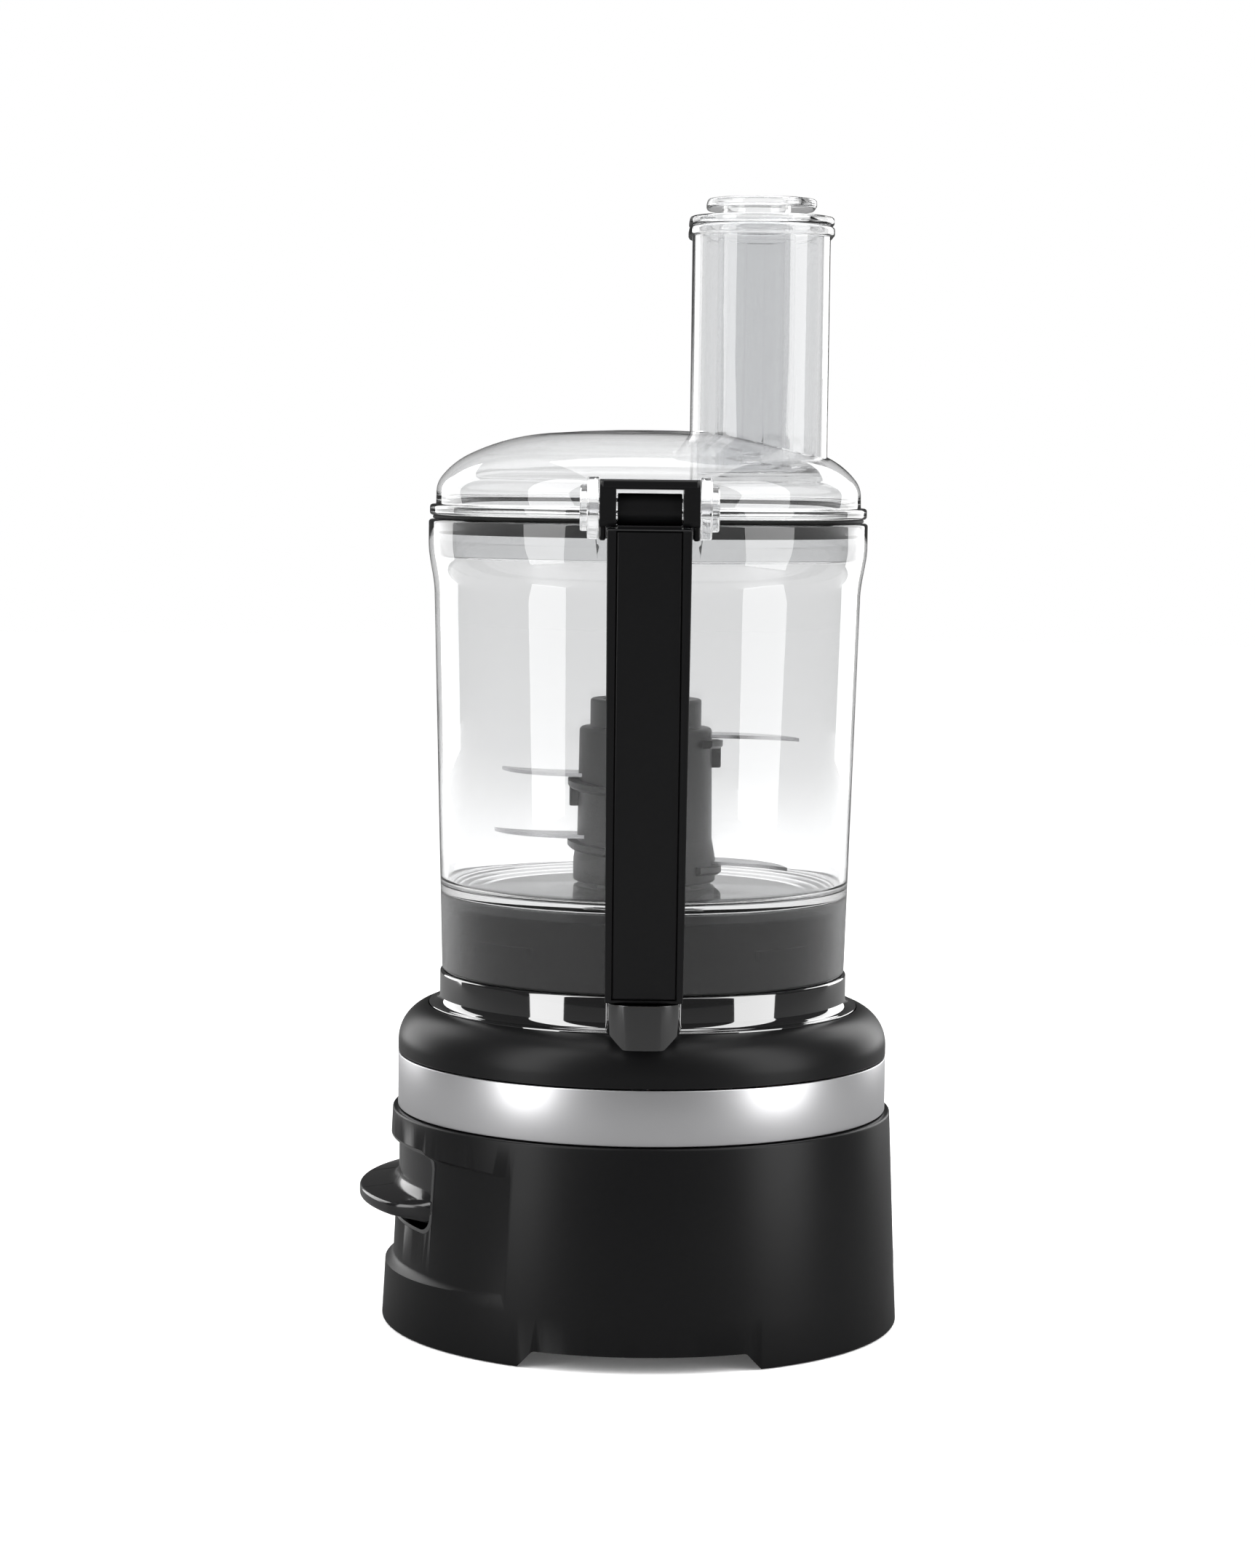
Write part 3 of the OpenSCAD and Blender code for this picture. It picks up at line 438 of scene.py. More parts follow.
def put(tree: bpy.types.NodeTree, kind: str, inputs: dict | None = None,
        **settings: object) -> bpy.types.Node:
    """Adds a node, sets its settings and plain inputs, and links inputs given as sockets.

    Args:
        tree: the node tree.
        kind: the node's type, without its prefix.
        inputs: plain values and sockets, by the name or number of the input.
        settings: the node's settings by name.

    Returns:
        The node.
    """
    made = tree.nodes.new("ShaderNode" + kind)
    for key, value in settings.items():
        setattr(made, key, value)
    for key, value in (inputs or {}).items():
        if isinstance(value, bpy.types.NodeSocket):
            tree.links.new(value, made.inputs[key])
        else:
            made.inputs[key].default_value = value
    return made


class Effect:
    """A shader node group that more than one finish uses, built once."""

    def __init__(self, name: str, inputs: dict[str, float], outputs: Sequence[str]) -> None:
        """Starts the group.

        Args:
            name: the group's name.
            inputs: each input with its usual value.
            outputs: the outputs, all plain numbers.
        """
        self.tree = bpy.data.node_groups.new(name, "ShaderNodeTree")
        for key, value in inputs.items():
            made = self.tree.interface.new_socket(key, in_out="INPUT", socket_type="NodeSocketFloat")
            made.default_value = value
        for key in outputs:
            self.tree.interface.new_socket(key, in_out="OUTPUT", socket_type="NodeSocketFloat")
        self.way_in = self.tree.nodes.new("NodeGroupInput")
        self.way_out = self.tree.nodes.new("NodeGroupOutput")

    def put(self, kind: str, inputs: dict | None = None, **settings: object) -> bpy.types.Node:
        """Adds a node to the group."""
        return put(self.tree, kind, inputs, **settings)

    def give(self, key: str) -> bpy.types.NodeSocket:
        """The socket of one of the group's inputs."""
        return self.way_in.outputs[key]

    def send(self, key: str, socket: bpy.types.NodeSocket) -> None:
        """Joins a socket to one of the group's outputs."""
        self.tree.links.new(socket, self.way_out.inputs[key])


def moulded_grain() -> bpy.types.NodeTree:
    """Fine moulded grain, with gloss that changes slowly over the surface.

    Returns:
        The node group.
    """
    name = "moulded_grain"
    if name in bpy.data.node_groups:
        return bpy.data.node_groups[name]
    effect = Effect(name, {"Grain": 1500.0, "Roughness": 0.4, "Change": 0.06}, ["Height", "Roughness"])
    place_node = effect.put("TexCoord").outputs["Object"]
    fine = effect.put("TexNoise", {"Vector": place_node, "Scale": effect.give("Grain"),
                                   "Detail": 2.0, "Roughness": 0.6})
    slow = effect.put("TexNoise", {"Vector": place_node, "Scale": 22.0, "Detail": 3.0})
    change = effect.put("MapRange", {"Value": slow.outputs["Fac"], "From Min": 0.3, "From Max": 0.7,
                                     "To Min": -1.0, "To Max": 1.0})
    rough = effect.put("Math", {0: change.outputs["Result"], 1: effect.give("Change"),
                                2: effect.give("Roughness")}, operation="MULTIPLY_ADD")
    effect.send("Height", fine.outputs["Fac"])
    effect.send("Roughness", rough.outputs["Value"])
    return effect.tree


def drawn_lines() -> bpy.types.NodeTree:
    """Fine brush lines that run level round a vertical axis, as a shade and a height.

    Returns:
        The node group.
    """
    name = "drawn_lines"
    if name in bpy.data.node_groups:
        return bpy.data.node_groups[name]
    effect = Effect(name, {"Along": 14.0, "Across": 2600.0}, ["Shade", "Height"])
    place_node = effect.put("TexCoord").outputs["Object"]
    stretch = effect.put("CombineXYZ", {"X": effect.give("Along"), "Y": effect.give("Along"),
                                        "Z": effect.give("Across")})
    spot = effect.put("VectorMath", {0: place_node, 1: stretch.outputs["Vector"]},
                      operation="MULTIPLY")
    lines = effect.put("TexNoise", {"Vector": spot.outputs["Vector"], "Scale": 1.0, "Detail": 4.0,
                                    "Roughness": 0.7})
    shade = effect.put("MapRange", {"Value": lines.outputs["Fac"], "From Min": 0.3, "From Max": 0.7})
    effect.send("Shade", shade.outputs["Result"])
    effect.send("Height", lines.outputs["Fac"])
    return effect.tree


def frost_grains() -> bpy.types.NodeTree:
    """Coarse sparkling grains of a spark eroded mould, as a height and a roughness.

    Returns:
        The node group.
    """
    name = "frost_grains"
    if name in bpy.data.node_groups:
        return bpy.data.node_groups[name]
    effect = Effect(name, {"Grains": 1100.0, "Smooth": 0.12, "Rough": 0.5}, ["Height", "Roughness"])
    place_node = effect.put("TexCoord").outputs["Object"]
    cells = effect.put("TexVoronoi", {"Vector": place_node, "Scale": effect.give("Grains"),
                                      "Randomness": 1.0})
    noise = effect.put("TexNoise", {"Vector": place_node, "Scale": effect.give("Grains"),
                                    "Detail": 3.0})
    height = effect.put("Math", {0: cells.outputs["Distance"], 1: noise.outputs["Fac"]},
                        operation="ADD")
    rough = effect.put("MapRange", {"Value": noise.outputs["Fac"], "From Min": 0.35, "From Max": 0.65,
                                    "To Min": effect.give("Smooth"), "To Max": effect.give("Rough")})
    effect.send("Height", height.outputs["Value"])
    effect.send("Roughness", rough.outputs["Result"])
    return effect.tree


# ------------------------------------------------------------------ finishes


@dataclass(frozen=True)
class Finish:
    """A moulded plastic or plain surface, and the base of the other finishes."""

    name: str
    slot: str
    colour: tuple[float, float, float]
    roughness: float = 0.4
    change: float = 0.05
    grain: float = 1500.0
    grain_depth: float = 0.02
    metallic: float = 0.0
    coat: float = 0.0
    specular: float = 0.5
    ior: float = 1.5

    def start(self) -> tuple[bpy.types.Material, bpy.types.NodeTree, bpy.types.Node]:
        """A new material with its shader, in the finish's plain values.

        Returns:
            The material, its node tree and its Principled node.
        """
        material = bpy.data.materials.new(self.name)
        material.use_nodes = True
        tree = material.node_tree
        shader = tree.nodes["Principled BSDF"]
        shader.inputs["Base Color"].default_value = (*self.colour, 1.0)
        shader.inputs["Roughness"].default_value = self.roughness
        shader.inputs["Metallic"].default_value = self.metallic
        shader.inputs["Specular IOR Level"].default_value = self.specular
        shader.inputs["IOR"].default_value = self.ior
        shader.inputs["Coat Weight"].default_value = self.coat
        shader.inputs["Coat Roughness"].default_value = 0.03
        shader.inputs["Coat IOR"].default_value = self.ior
        return material, tree, shader

    def effect(self, tree: bpy.types.NodeTree, group: bpy.types.NodeTree,
               values: dict[str, float]) -> bpy.types.Node:
        """Places a shared effect in a material with its own values.

        Args:
            tree: the material's node tree.
            group: the shared effect.
            values: its plain values by name.

        Returns:
            The group node.
        """
        made = tree.nodes.new("ShaderNodeGroup")
        made.node_tree = group
        for key, value in values.items():
            made.inputs[key].default_value = value
        return made

    def bump(self, tree: bpy.types.NodeTree, shader: bpy.types.Node,
             height: bpy.types.NodeSocket, depth: float, strength: float) -> None:
        """Joins a height to a shader's normal.

        Args:
            tree: the material's node tree.
            shader: its shader.
            height: the height to follow.
            depth: the depth of the relief, in millimetres.
            strength: how strongly it shows.
        """
        made = put(tree, "Bump", {"Height": height, "Distance": depth * MM, "Strength": strength})
        tree.links.new(made.outputs["Normal"], shader.inputs["Normal"])

    def paint(self, tree: bpy.types.NodeTree, shader: bpy.types.Node) -> None:
        """Adds the finish's own nodes.

        Args:
            tree: the material's node tree.
            shader: its shader.
        """
        grain = self.effect(tree, moulded_grain(), {"Grain": self.grain, "Roughness": self.roughness,
                                                    "Change": self.change})
        tree.links.new(grain.outputs["Roughness"], shader.inputs["Roughness"])
        self.bump(tree, shader, grain.outputs["Height"], self.grain_depth, 0.6)

    def material(self) -> bpy.types.Material:
        """The finish's material, made at its first use.

        Returns:
            The material.
        """
        if self.name in bpy.data.materials:
            return bpy.data.materials[self.name]
        material, tree, shader = self.start()
        self.paint(tree, shader)
        return material


@dataclass(frozen=True)
class Brushed(Finish):
    """Metal with fine level brush lines."""

    lines: float = 2600.0
    contrast: float = 0.12

    def paint(self, tree: bpy.types.NodeTree, shader: bpy.types.Node) -> None:
        """Adds the brush lines to colour, roughness and normal.

        Args:
            tree: the material's node tree.
            shader: its shader.
        """
        lines = self.effect(tree, drawn_lines(), {"Along": 14.0, "Across": self.lines})
        dark = tuple(c * (1 - self.contrast) for c in self.colour)
        mix = put(tree, "Mix", {"Factor": lines.outputs["Shade"]}, data_type="RGBA")
        colours = [s for s in mix.inputs if s.type == "RGBA"]
        colours[0].default_value, colours[1].default_value = (*dark, 1.0), (*self.colour, 1.0)
        out = next(s for s in mix.outputs if s.type == "RGBA")
        tree.links.new(out, shader.inputs["Base Color"])
        rough = put(tree, "MapRange", {"Value": lines.outputs["Shade"],
                                       "To Min": self.roughness + self.change,
                                       "To Max": self.roughness - self.change})
        tree.links.new(rough.outputs["Result"], shader.inputs["Roughness"])
        self.bump(tree, shader, lines.outputs["Height"], self.grain_depth, 0.5)


@dataclass(frozen=True)
class Clear(Finish):
    """Clear moulded plastic with faint waves from the mould."""

    def paint(self, tree: bpy.types.NodeTree, shader: bpy.types.Node) -> None:
        """Makes the shader clear and adds the waves.

        Args:
            tree: the material's node tree.
            shader: its shader.
        """
        shader.inputs["Transmission Weight"].default_value = 1.0
        grain = self.effect(tree, moulded_grain(), {"Grain": 45.0, "Roughness": self.roughness,
                                                    "Change": self.change})
        tree.links.new(grain.outputs["Roughness"], shader.inputs["Roughness"])
        self.bump(tree, shader, grain.outputs["Height"], self.grain_depth, 0.5)


@dataclass(frozen=True)
class Frosted(Clear):
    """Clear plastic whose surface is eroded to sparkling grains."""

    grains: float = 1100.0

    def paint(self, tree: bpy.types.NodeTree, shader: bpy.types.Node) -> None:
        """Makes the shader clear and adds the grains.

        Args:
            tree: the material's node tree.
            shader: its shader.
        """
        shader.inputs["Transmission Weight"].default_value = 1.0
        frost = self.effect(tree, frost_grains(), {"Grains": self.grains, "Smooth": 0.1,
                                                   "Rough": 0.22})
        tree.links.new(frost.outputs["Roughness"], shader.inputs["Roughness"])
        self.bump(tree, shader, frost.outputs["Height"], self.grain_depth, 0.9)


HOUSING = Finish("satin_black_housing", "housing_plastic", (0.004, 0.004, 0.0043), 0.36, 0.03,
                 specular=0.18)
GLOSS = Finish("gloss_black", "gloss_black_plastic", (0.002, 0.002, 0.0022), 0.05, 0.01, 60.0, 0.001,
               coat=1.0, ior=1.8)
HANDLE = Finish("satin_black_handle", "handle_plastic", (0.004, 0.004, 0.0043), 0.32, 0.04,
                specular=0.2)
KEYS = Finish("gloss_dark_keys", "key_plastic", (0.006, 0.006, 0.0064), 0.2, 0.03, 900.0, 0.004,
              coat=0.2)
HUB = Finish("textured_grey_hub", "hub_plastic", (0.016, 0.016, 0.0165), 0.42, 0.08, 900.0, 0.12,
             specular=0.35)
COVER = Finish("coarse_black_cover", "cover_plastic", (0.01, 0.01, 0.0105), 0.55, 0.06, 700.0, 0.06,
               specular=0.3)
RUBBER = Finish("dull_black_rubber", "rubber", (0.006, 0.006, 0.006), 0.7, 0.08, 500.0, 0.05,
                specular=0.2)
# The grey tints of the bowl, lid and pusher are painted shade: one clear plastic, greyer for the bowl (0.84)
# than for the lid (0.89) and the pusher (0.94), so that each darkens what shows through it.
CLEAR = Clear("clear_bowl_painted_shade", "clear_plastic", (0.84, 0.843, 0.846), 0.012, 0.006,
              grain_depth=0.03)
LID_TINT_PAINTED_SHADE = Clear("clear_lid_painted_shade", "clear_plastic", (0.89, 0.893, 0.896), 0.012, 0.006,
                  grain_depth=0.03)
PUSHER_TINT_PAINTED_SHADE = Clear("clear_pusher_painted_shade", "clear_plastic", (0.94, 0.942, 0.945), 0.014, 0.006,
                     grain_depth=0.02)
# The frosted foot's near-black tint is painted shade: it darkens the clear foot and all that shows through
# it; the sparkling grains are real.
DARK_FROST_PAINTED_SHADE = Frosted("frosted_foot_painted_shade", "clear_plastic", (0.09, 0.091, 0.092), 0.3, grain_depth=0.02,
                specular=0.3)
# The band's pale grey, with the metal nearly turned off, is partly the metal's own colour and partly painted
# sheen: it stands in for the brushed metal's reflection of the bright surround.
BAND_PAINTED_SHEEN = Brushed("brushed_band", "brushed_band", (0.42, 0.42, 0.424), 0.48, 0.05, grain_depth=0.006,
               metallic=0.1, specular=0.15)
BLADE = Brushed("ground_blade_steel", "blade_steel", (0.5, 0.5, 0.51), 0.25, 0.05, grain_depth=0.006,
                metallic=1.0, lines=900.0)
STEEL = Brushed("turned_steel", "steel", (0.6, 0.6, 0.61), 0.26, 0.05, grain_depth=0.004, metallic=1.0,
                lines=1800.0)
ALLOY = Finish("cast_alloy", "motor_alloy", (0.42, 0.42, 0.43), 0.48, 0.06, 420.0, 0.08, metallic=0.9)
IRON = Brushed("stacked_iron", "laminated_iron", (0.2, 0.2, 0.21), 0.45, 0.08, grain_depth=0.06,
               metallic=0.9, lines=2000.0, contrast=0.5)
COPPER = Brushed("wound_copper", "copper_wire", (0.55, 0.24, 0.1), 0.32, 0.08, grain_depth=0.2,
                 metallic=0.9, lines=1200.0, contrast=0.6)
CARBON = Finish("pressed_carbon", "carbon", (0.03, 0.03, 0.032), 0.6, 0.08, 900.0, 0.05)
NYLON = Finish("pale_nylon", "nylon", (0.62, 0.62, 0.58), 0.4, 0.06, 300.0, 0.03)
DARK_NYLON = Finish("dark_nylon", "dark_nylon", (0.03, 0.031, 0.033), 0.42, 0.06, 300.0, 0.03)
BOARD = Finish("green_board", "board_green", (0.02, 0.13, 0.05), 0.35, 0.08, 260.0, 0.05, coat=0.3)


def fit(piece: Piece, finish: Finish, body: str, *nodes: str) -> Piece:
    """Dresses a finished piece, lets it ride on a body and hides the nodes it stands for.

    Args:
        piece: the piece.
        finish: its finish.
        body: the body that it moves with.
        nodes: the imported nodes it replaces.

    Returns:
        The same piece.
    """
    piece.data.materials.clear()
    piece.data.materials.append(finish.material())
    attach(piece, body)
    if nodes:
        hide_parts(*nodes)
    LOG.info("%s: %d faces, on %s", piece.name, len(piece.data.polygons), body)
    return piece


# ------------------------------------------------------------------ motor base


@dataclass
class LowerHousing:
    """The black lower housing, with its front recess, key window and finger notches."""

    foot_r: float = 102.0
    shin_r: float = 101.0
    top_r: float = 98.2
    shin_z: float = 20.0
    wall: float = 7.0
    recess_depth: float = 3.1
    recess_shift: float = 6.5
    recess_low: float = 26.0
    recess_high: float = 71.0
    blend: float = 5.5
    window_w: float = 56.6
    window_low: float = 41.4
    window_high: float = 74.0
    notch_w: float = 45.5
    notch_h: float = 6.5
    gland_z: float = 22.0
    gland_r: float = 8.0
    gland_bore: float = 3.6

    def __post_init__(self) -> None:
        """Reads the housing's top level, under the trim band."""
        self.top_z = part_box("trim_band")[0].z / MM - 0.5

    def radius(self, z: float) -> float:
        """The outside radius at a height.

        Args:
            z: the height in millimetres.

        Returns:
            The radius in millimetres.
        """
        if z < self.shin_z:
            return self.foot_r + (self.shin_r - self.foot_r) * z / self.shin_z
        return self.shin_r + (self.top_r - self.shin_r) * (z - self.shin_z) / (self.top_z - self.shin_z)

    def shell(self) -> Piece:
        """The turned wall, open above and below.

        Returns:
            The wall.
        """
        inner = self.top_r - self.wall
        return turned("lower_housing", rounded([
            (self.foot_r, 0, 1.0), (self.shin_r, self.shin_z, 0), (self.top_r, self.top_z, 0.9),
            (inner, self.top_z, 0), (inner, self.top_z - 4, 0), (self.foot_r - self.wall, 0, 0)], 4), 240)

    def recess_tool(self) -> Piece:
        """The solid that the wall is cut to, with the recess at its front and far beyond elsewhere.

        Returns:
            The solid.
        """
        def inward(z: float) -> float:
            return self.radius(z) + self.recess_shift - self.recess_depth
        low, high, out, steps = self.recess_low, self.recess_high, 140.0, 12
        ledge = [(inward(low) + self.blend * (1 - ease(k / steps)), low - 6.5 + 7 * k / steps)
                 for k in range(steps + 1)]
        brow = [(inward(high) + self.blend * ease(k / steps), high - 1 + 6 * k / steps)
                for k in range(steps + 1)]
        return turned("recess_tool", [(0, -5), (out, -5), (out, ledge[0][1]), *ledge, *brow,
                                      (out, brow[-1][1]), (out, self.top_z + 5), (0, self.top_z + 5)],
                      240, (0.0, self.recess_shift), closed=False)

    def build(self) -> None:
        """Cuts the wall and dresses it."""
        shell = carve(self.shell(), self.recess_tool(), Cut.KEEP)
        window = slab("window_tool", box_outline((-self.window_w, self.window_low),
                                                 (self.window_w, self.window_high), 6.0), Axis.Y,
                      -130, -66)
        carve(shell, window, Cut.TAKE)
        half, slope = self.notch_w, 5.5
        for side in (-1, 1):
            outline = rounded([(-half, -3, 0), (half, -3, 0), (half, 0.4, 0),
                               (half - slope, self.notch_h, 2.0), (slope - half, self.notch_h, 2.0),
                               (-half, 0.4, 0)])
            notch = slab("notch_tool", outline, Axis.X, min(side * 80, side * 120),
                         max(side * 80, side * 120))
            carve(shell, notch, Cut.TAKE)
        carve(shell, self.disc("gland_tool", self.gland_r + 0.2, 80, 120), Cut.TAKE)
        fit(soften(shell, 0.5, 3, 50), HOUSING, "base", "base_housing")
        self.gland()

    def disc(self, name: str, radius: float, near: float, far: float) -> Piece:
        """A round bar on the cord gland's axis.

        Args:
            name: the piece's name.
            radius: the bar's radius.
            near: the depth where it starts.
            far: the depth where it ends.

        Returns:
            The bar.
        """
        return slab(name, arc((0, self.gland_z), radius, 0, 352, 44), Axis.Y, near, far)

    def gland(self) -> None:
        """The cord gland, flush with the housing at its back."""
        back = self.radius(self.gland_z)
        barrel = self.disc("cord_gland_piece", self.gland_r, back - 20, back - 0.3)
        carve(barrel, self.disc("collar", self.gland_r + 2.5, back - 11, back - 8), Cut.ADD)
        carve(barrel, self.disc("bore", self.gland_bore, back - 25, back + 5), Cut.TAKE)
        fit(soften(barrel, 0.4, 2, 50), COVER, "base", "cord_gland")


@dataclass
class UpperBase:
    """The trim band, the rounded shoulder, the gloss collar, the pedestal and the docking toe."""

    band_r: float = 96.2
    band_t: float = 1.1
    shoulder_r: float = 96.2
    shoulder_round: float = 15.0
    rim_in: float = 84.6
    collar_r: float = 80.0
    pedestal_r: float = 73.0
    tower_r: float = 12.0
    bearing_r: float = 8.05
    toe_w: float = 14.0
    toe_reach: float = 108.0
    toe_h: float = 16.6
    toe_round: float = 11.0

    def __post_init__(self) -> None:
        """Reads the levels of the band, the shoulder and the seat."""
        self.band_low, self.band_high = (p.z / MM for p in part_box("trim_band"))
        self.shoulder_z = self.band_high + 0.5
        self.seat_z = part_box("work_bowl")[0].z / MM - 0.3

    def band(self) -> None:
        """The metal band, with its edges broken; its pale grey is partly painted sheen."""
        inner = self.band_r - self.band_t
        profile = rounded([(self.band_r, self.band_low, 0.35), (self.band_r, self.band_high, 0.35),
                           (inner, self.band_high, 0), (inner, self.band_low, 0)], 3)
        fit(turned("metal_band", profile, 240), BAND_PAINTED_SHEEN, "base", "trim_band")

    def shoulder(self) -> None:
        """The rounded shoulder, down to its lower lip."""
        centre = (self.shoulder_r - self.shoulder_round, self.shoulder_z + 4)
        last = math.degrees(math.acos((self.rim_in - centre[0]) / self.shoulder_round))
        inner = self.shoulder_round - 2.6
        profile = ([(self.shoulder_r - 0.5, self.shoulder_z), (self.shoulder_r, self.shoulder_z + 0.5)]
                   + arc(centre, self.shoulder_round, 0, last, 18)
                   + [(self.rim_in, centre[1] + inner)]
                   + arc(centre, inner, last, 0, 10) + [(centre[0] + inner, self.shoulder_z)])
        fit(turned("shoulder_housing", profile, 240), HOUSING, "base", "top_housing")

    def seat(self) -> None:
        """The collar with its flared foot, and the pedestal that stands inside the bowl's foot."""
        top, r, ped = self.seat_z, self.collar_r, self.pedestal_r
        foot, round_r = top - 12.8, 3.2
        flare = arc((r + round_r, foot + round_r), round_r, 270, 180, 10)
        flange, wall = top - 16.4, 2.8
        profile = rounded([
            (r + 4.2, flange, 0), (r + 4.2, foot, 0.3), *[(x, z, 0) for x, z in flare], (r, top, 0.9),
            (r - wall, top, 0.4), (r - wall, top - 4, 0.4), (ped, top - 4, 0.6),
            (ped, top + 27, 1.6), (self.tower_r, top + 27, 1.0), (self.tower_r, top + 47, 0.6),
            (self.bearing_r, top + 47, 0), (self.bearing_r, top + 24, 0), (ped - wall, top + 24, 0),
            (ped - wall, top - 7, 0), (r - wall, top - 7, 0), (r - wall, flange, 0)], 5)
        collar = turned("gloss_collar", profile, 240)
        for angle in (45, 135, 225, 315):
            outline = (arc((0, 0), ped + 2.4, angle - 10, angle + 10, 8)
                       + arc((0, 0), ped - 1, angle + 10, angle - 10, 8))
            lug = slab("lug", outline, Axis.Z, top + 12, top + 16)
            carve(collar, lug, Cut.ADD)
        fit(smooth(collar), GLOSS, "base", "bowl_seat")
        collar.data.materials.append(HOUSING.material())
        for face in collar.data.polygons:
            if face.center.z > (top + 0.5) * MM:
                face.material_index = 1

    def toe(self) -> None:
        """The docking toe: a block with round upright corners and chamfered lower ones."""
        w, reach, top, h = self.toe_w, self.toe_reach, self.seat_z + 1, self.toe_h
        plan = rounded([(76, -w, 0), (reach, -w, self.toe_round), (reach, w, self.toe_round),
                        (76, w, 0)], 10)
        block = slab("docking_toe", plan, Axis.Z, top - h, top - 0.1)
        cut = 6.5
        front = rounded([(-w - 1, top + 1, 0), (w + 1, top + 1, 0), (w + 1, top - h + cut, 0),
                         (w, top - h + cut, 2.0), (w - cut, top - h, 2.0), (cut - w, top - h, 2.0),
                         (-w, top - h + cut, 2.0), (-w - 1, top - h + cut, 0)], 4)
        carve(block, slab("front_tool", front, Axis.X, 60, 120), Cut.KEEP)
        fit(soften(block, 0.8, 3, 50), GLOSS, "base", "bowl_seat")

    def build(self) -> None:
        """Builds the four pieces."""
        self.band()
        self.shoulder()
        self.seat()
        self.toe()


@dataclass
class KeyRow:
    """Three paddle keys in their gloss pocket."""

    row_w: float = 54.0
    middle_w: float = 17.0
    panel_r: float = 95.6
    panel_t: float = 2.6
    paddle_r: float = 83.0
    reach: float = 111.2
    top: float = 72.5
    ledge: float = 54.6
    low: float = 45.6
    fillet: float = 5.0
    gap: float = 0.3
    slices: int = 16

    def depth(self, x: float) -> float:
        """How far the paddle stands out of the panel at a place along the row.

        Args:
            x: the place, in millimetres.

        Returns:
            The depth in millimetres.
        """
        front = self.reach - self.paddle_r + math.sqrt(self.paddle_r ** 2 - x * x)
        corner = self.panel_r - 17 + (self.row_w - abs(x)) * 3.39
        return max(min(front, corner) - math.sqrt(self.panel_r ** 2 - x * x), 0.4)

    def section(self, x: float) -> list[Vector]:
        """The key's outline across the row at one place.

        Args:
            x: the place, in millimetres.

        Returns:
            The outline, in metres.
        """
        d = self.depth(x)
        share = d / (self.reach - self.panel_r)
        shape = rounded([
            (-self.panel_t, self.top, 0), (0, self.top, 0.7), (0, self.ledge, self.fillet),
            (15.6, self.ledge - 2.1, 1.4), (15.6, self.low + 2.4, 1.4), (0.5, self.low, 1.0),
            (-self.panel_t, self.low, 0)], 6)
        face = -math.sqrt(self.panel_r ** 2 - x * x)
        return [place(Axis.X, face - (t * share if t > 0 else t), z, x) for t, z in shape]

    def key(self, name: str, body: str, first: float, last: float) -> None:
        """One key, lofted along the row.

        Args:
            name: the piece's name.
            body: its body, which has the name of its node as well.
            first: where it starts along X.
            last: where it ends along X.
        """
        first, last = first + self.gap, last - self.gap
        spots = [first + (last - first) * k / self.slices for k in range(self.slices + 1)]
        if abs(first) > 40:
            spots = [first, first + 1.5, first + 4, *[s for s in spots if s > first + 5]]
        if abs(last) > 40:
            spots = [*[s for s in spots if s < last - 5], last - 4, last - 1.5, last]
        key = lofted(name, [self.section(x) for x in spots])
        fit(smooth(soften(key, 0.35, 2, 60), 35), KEYS, body, body)

    def build(self) -> None:
        """Builds the three keys."""
        self.key("key_left", "off_key", -self.row_w, -self.middle_w)
        self.key("key_middle", "run_key", -self.middle_w, self.middle_w)
        self.key("key_right", "pulse_key", self.middle_w, self.row_w)


# ------------------------------------------------------------------ bowl and handle


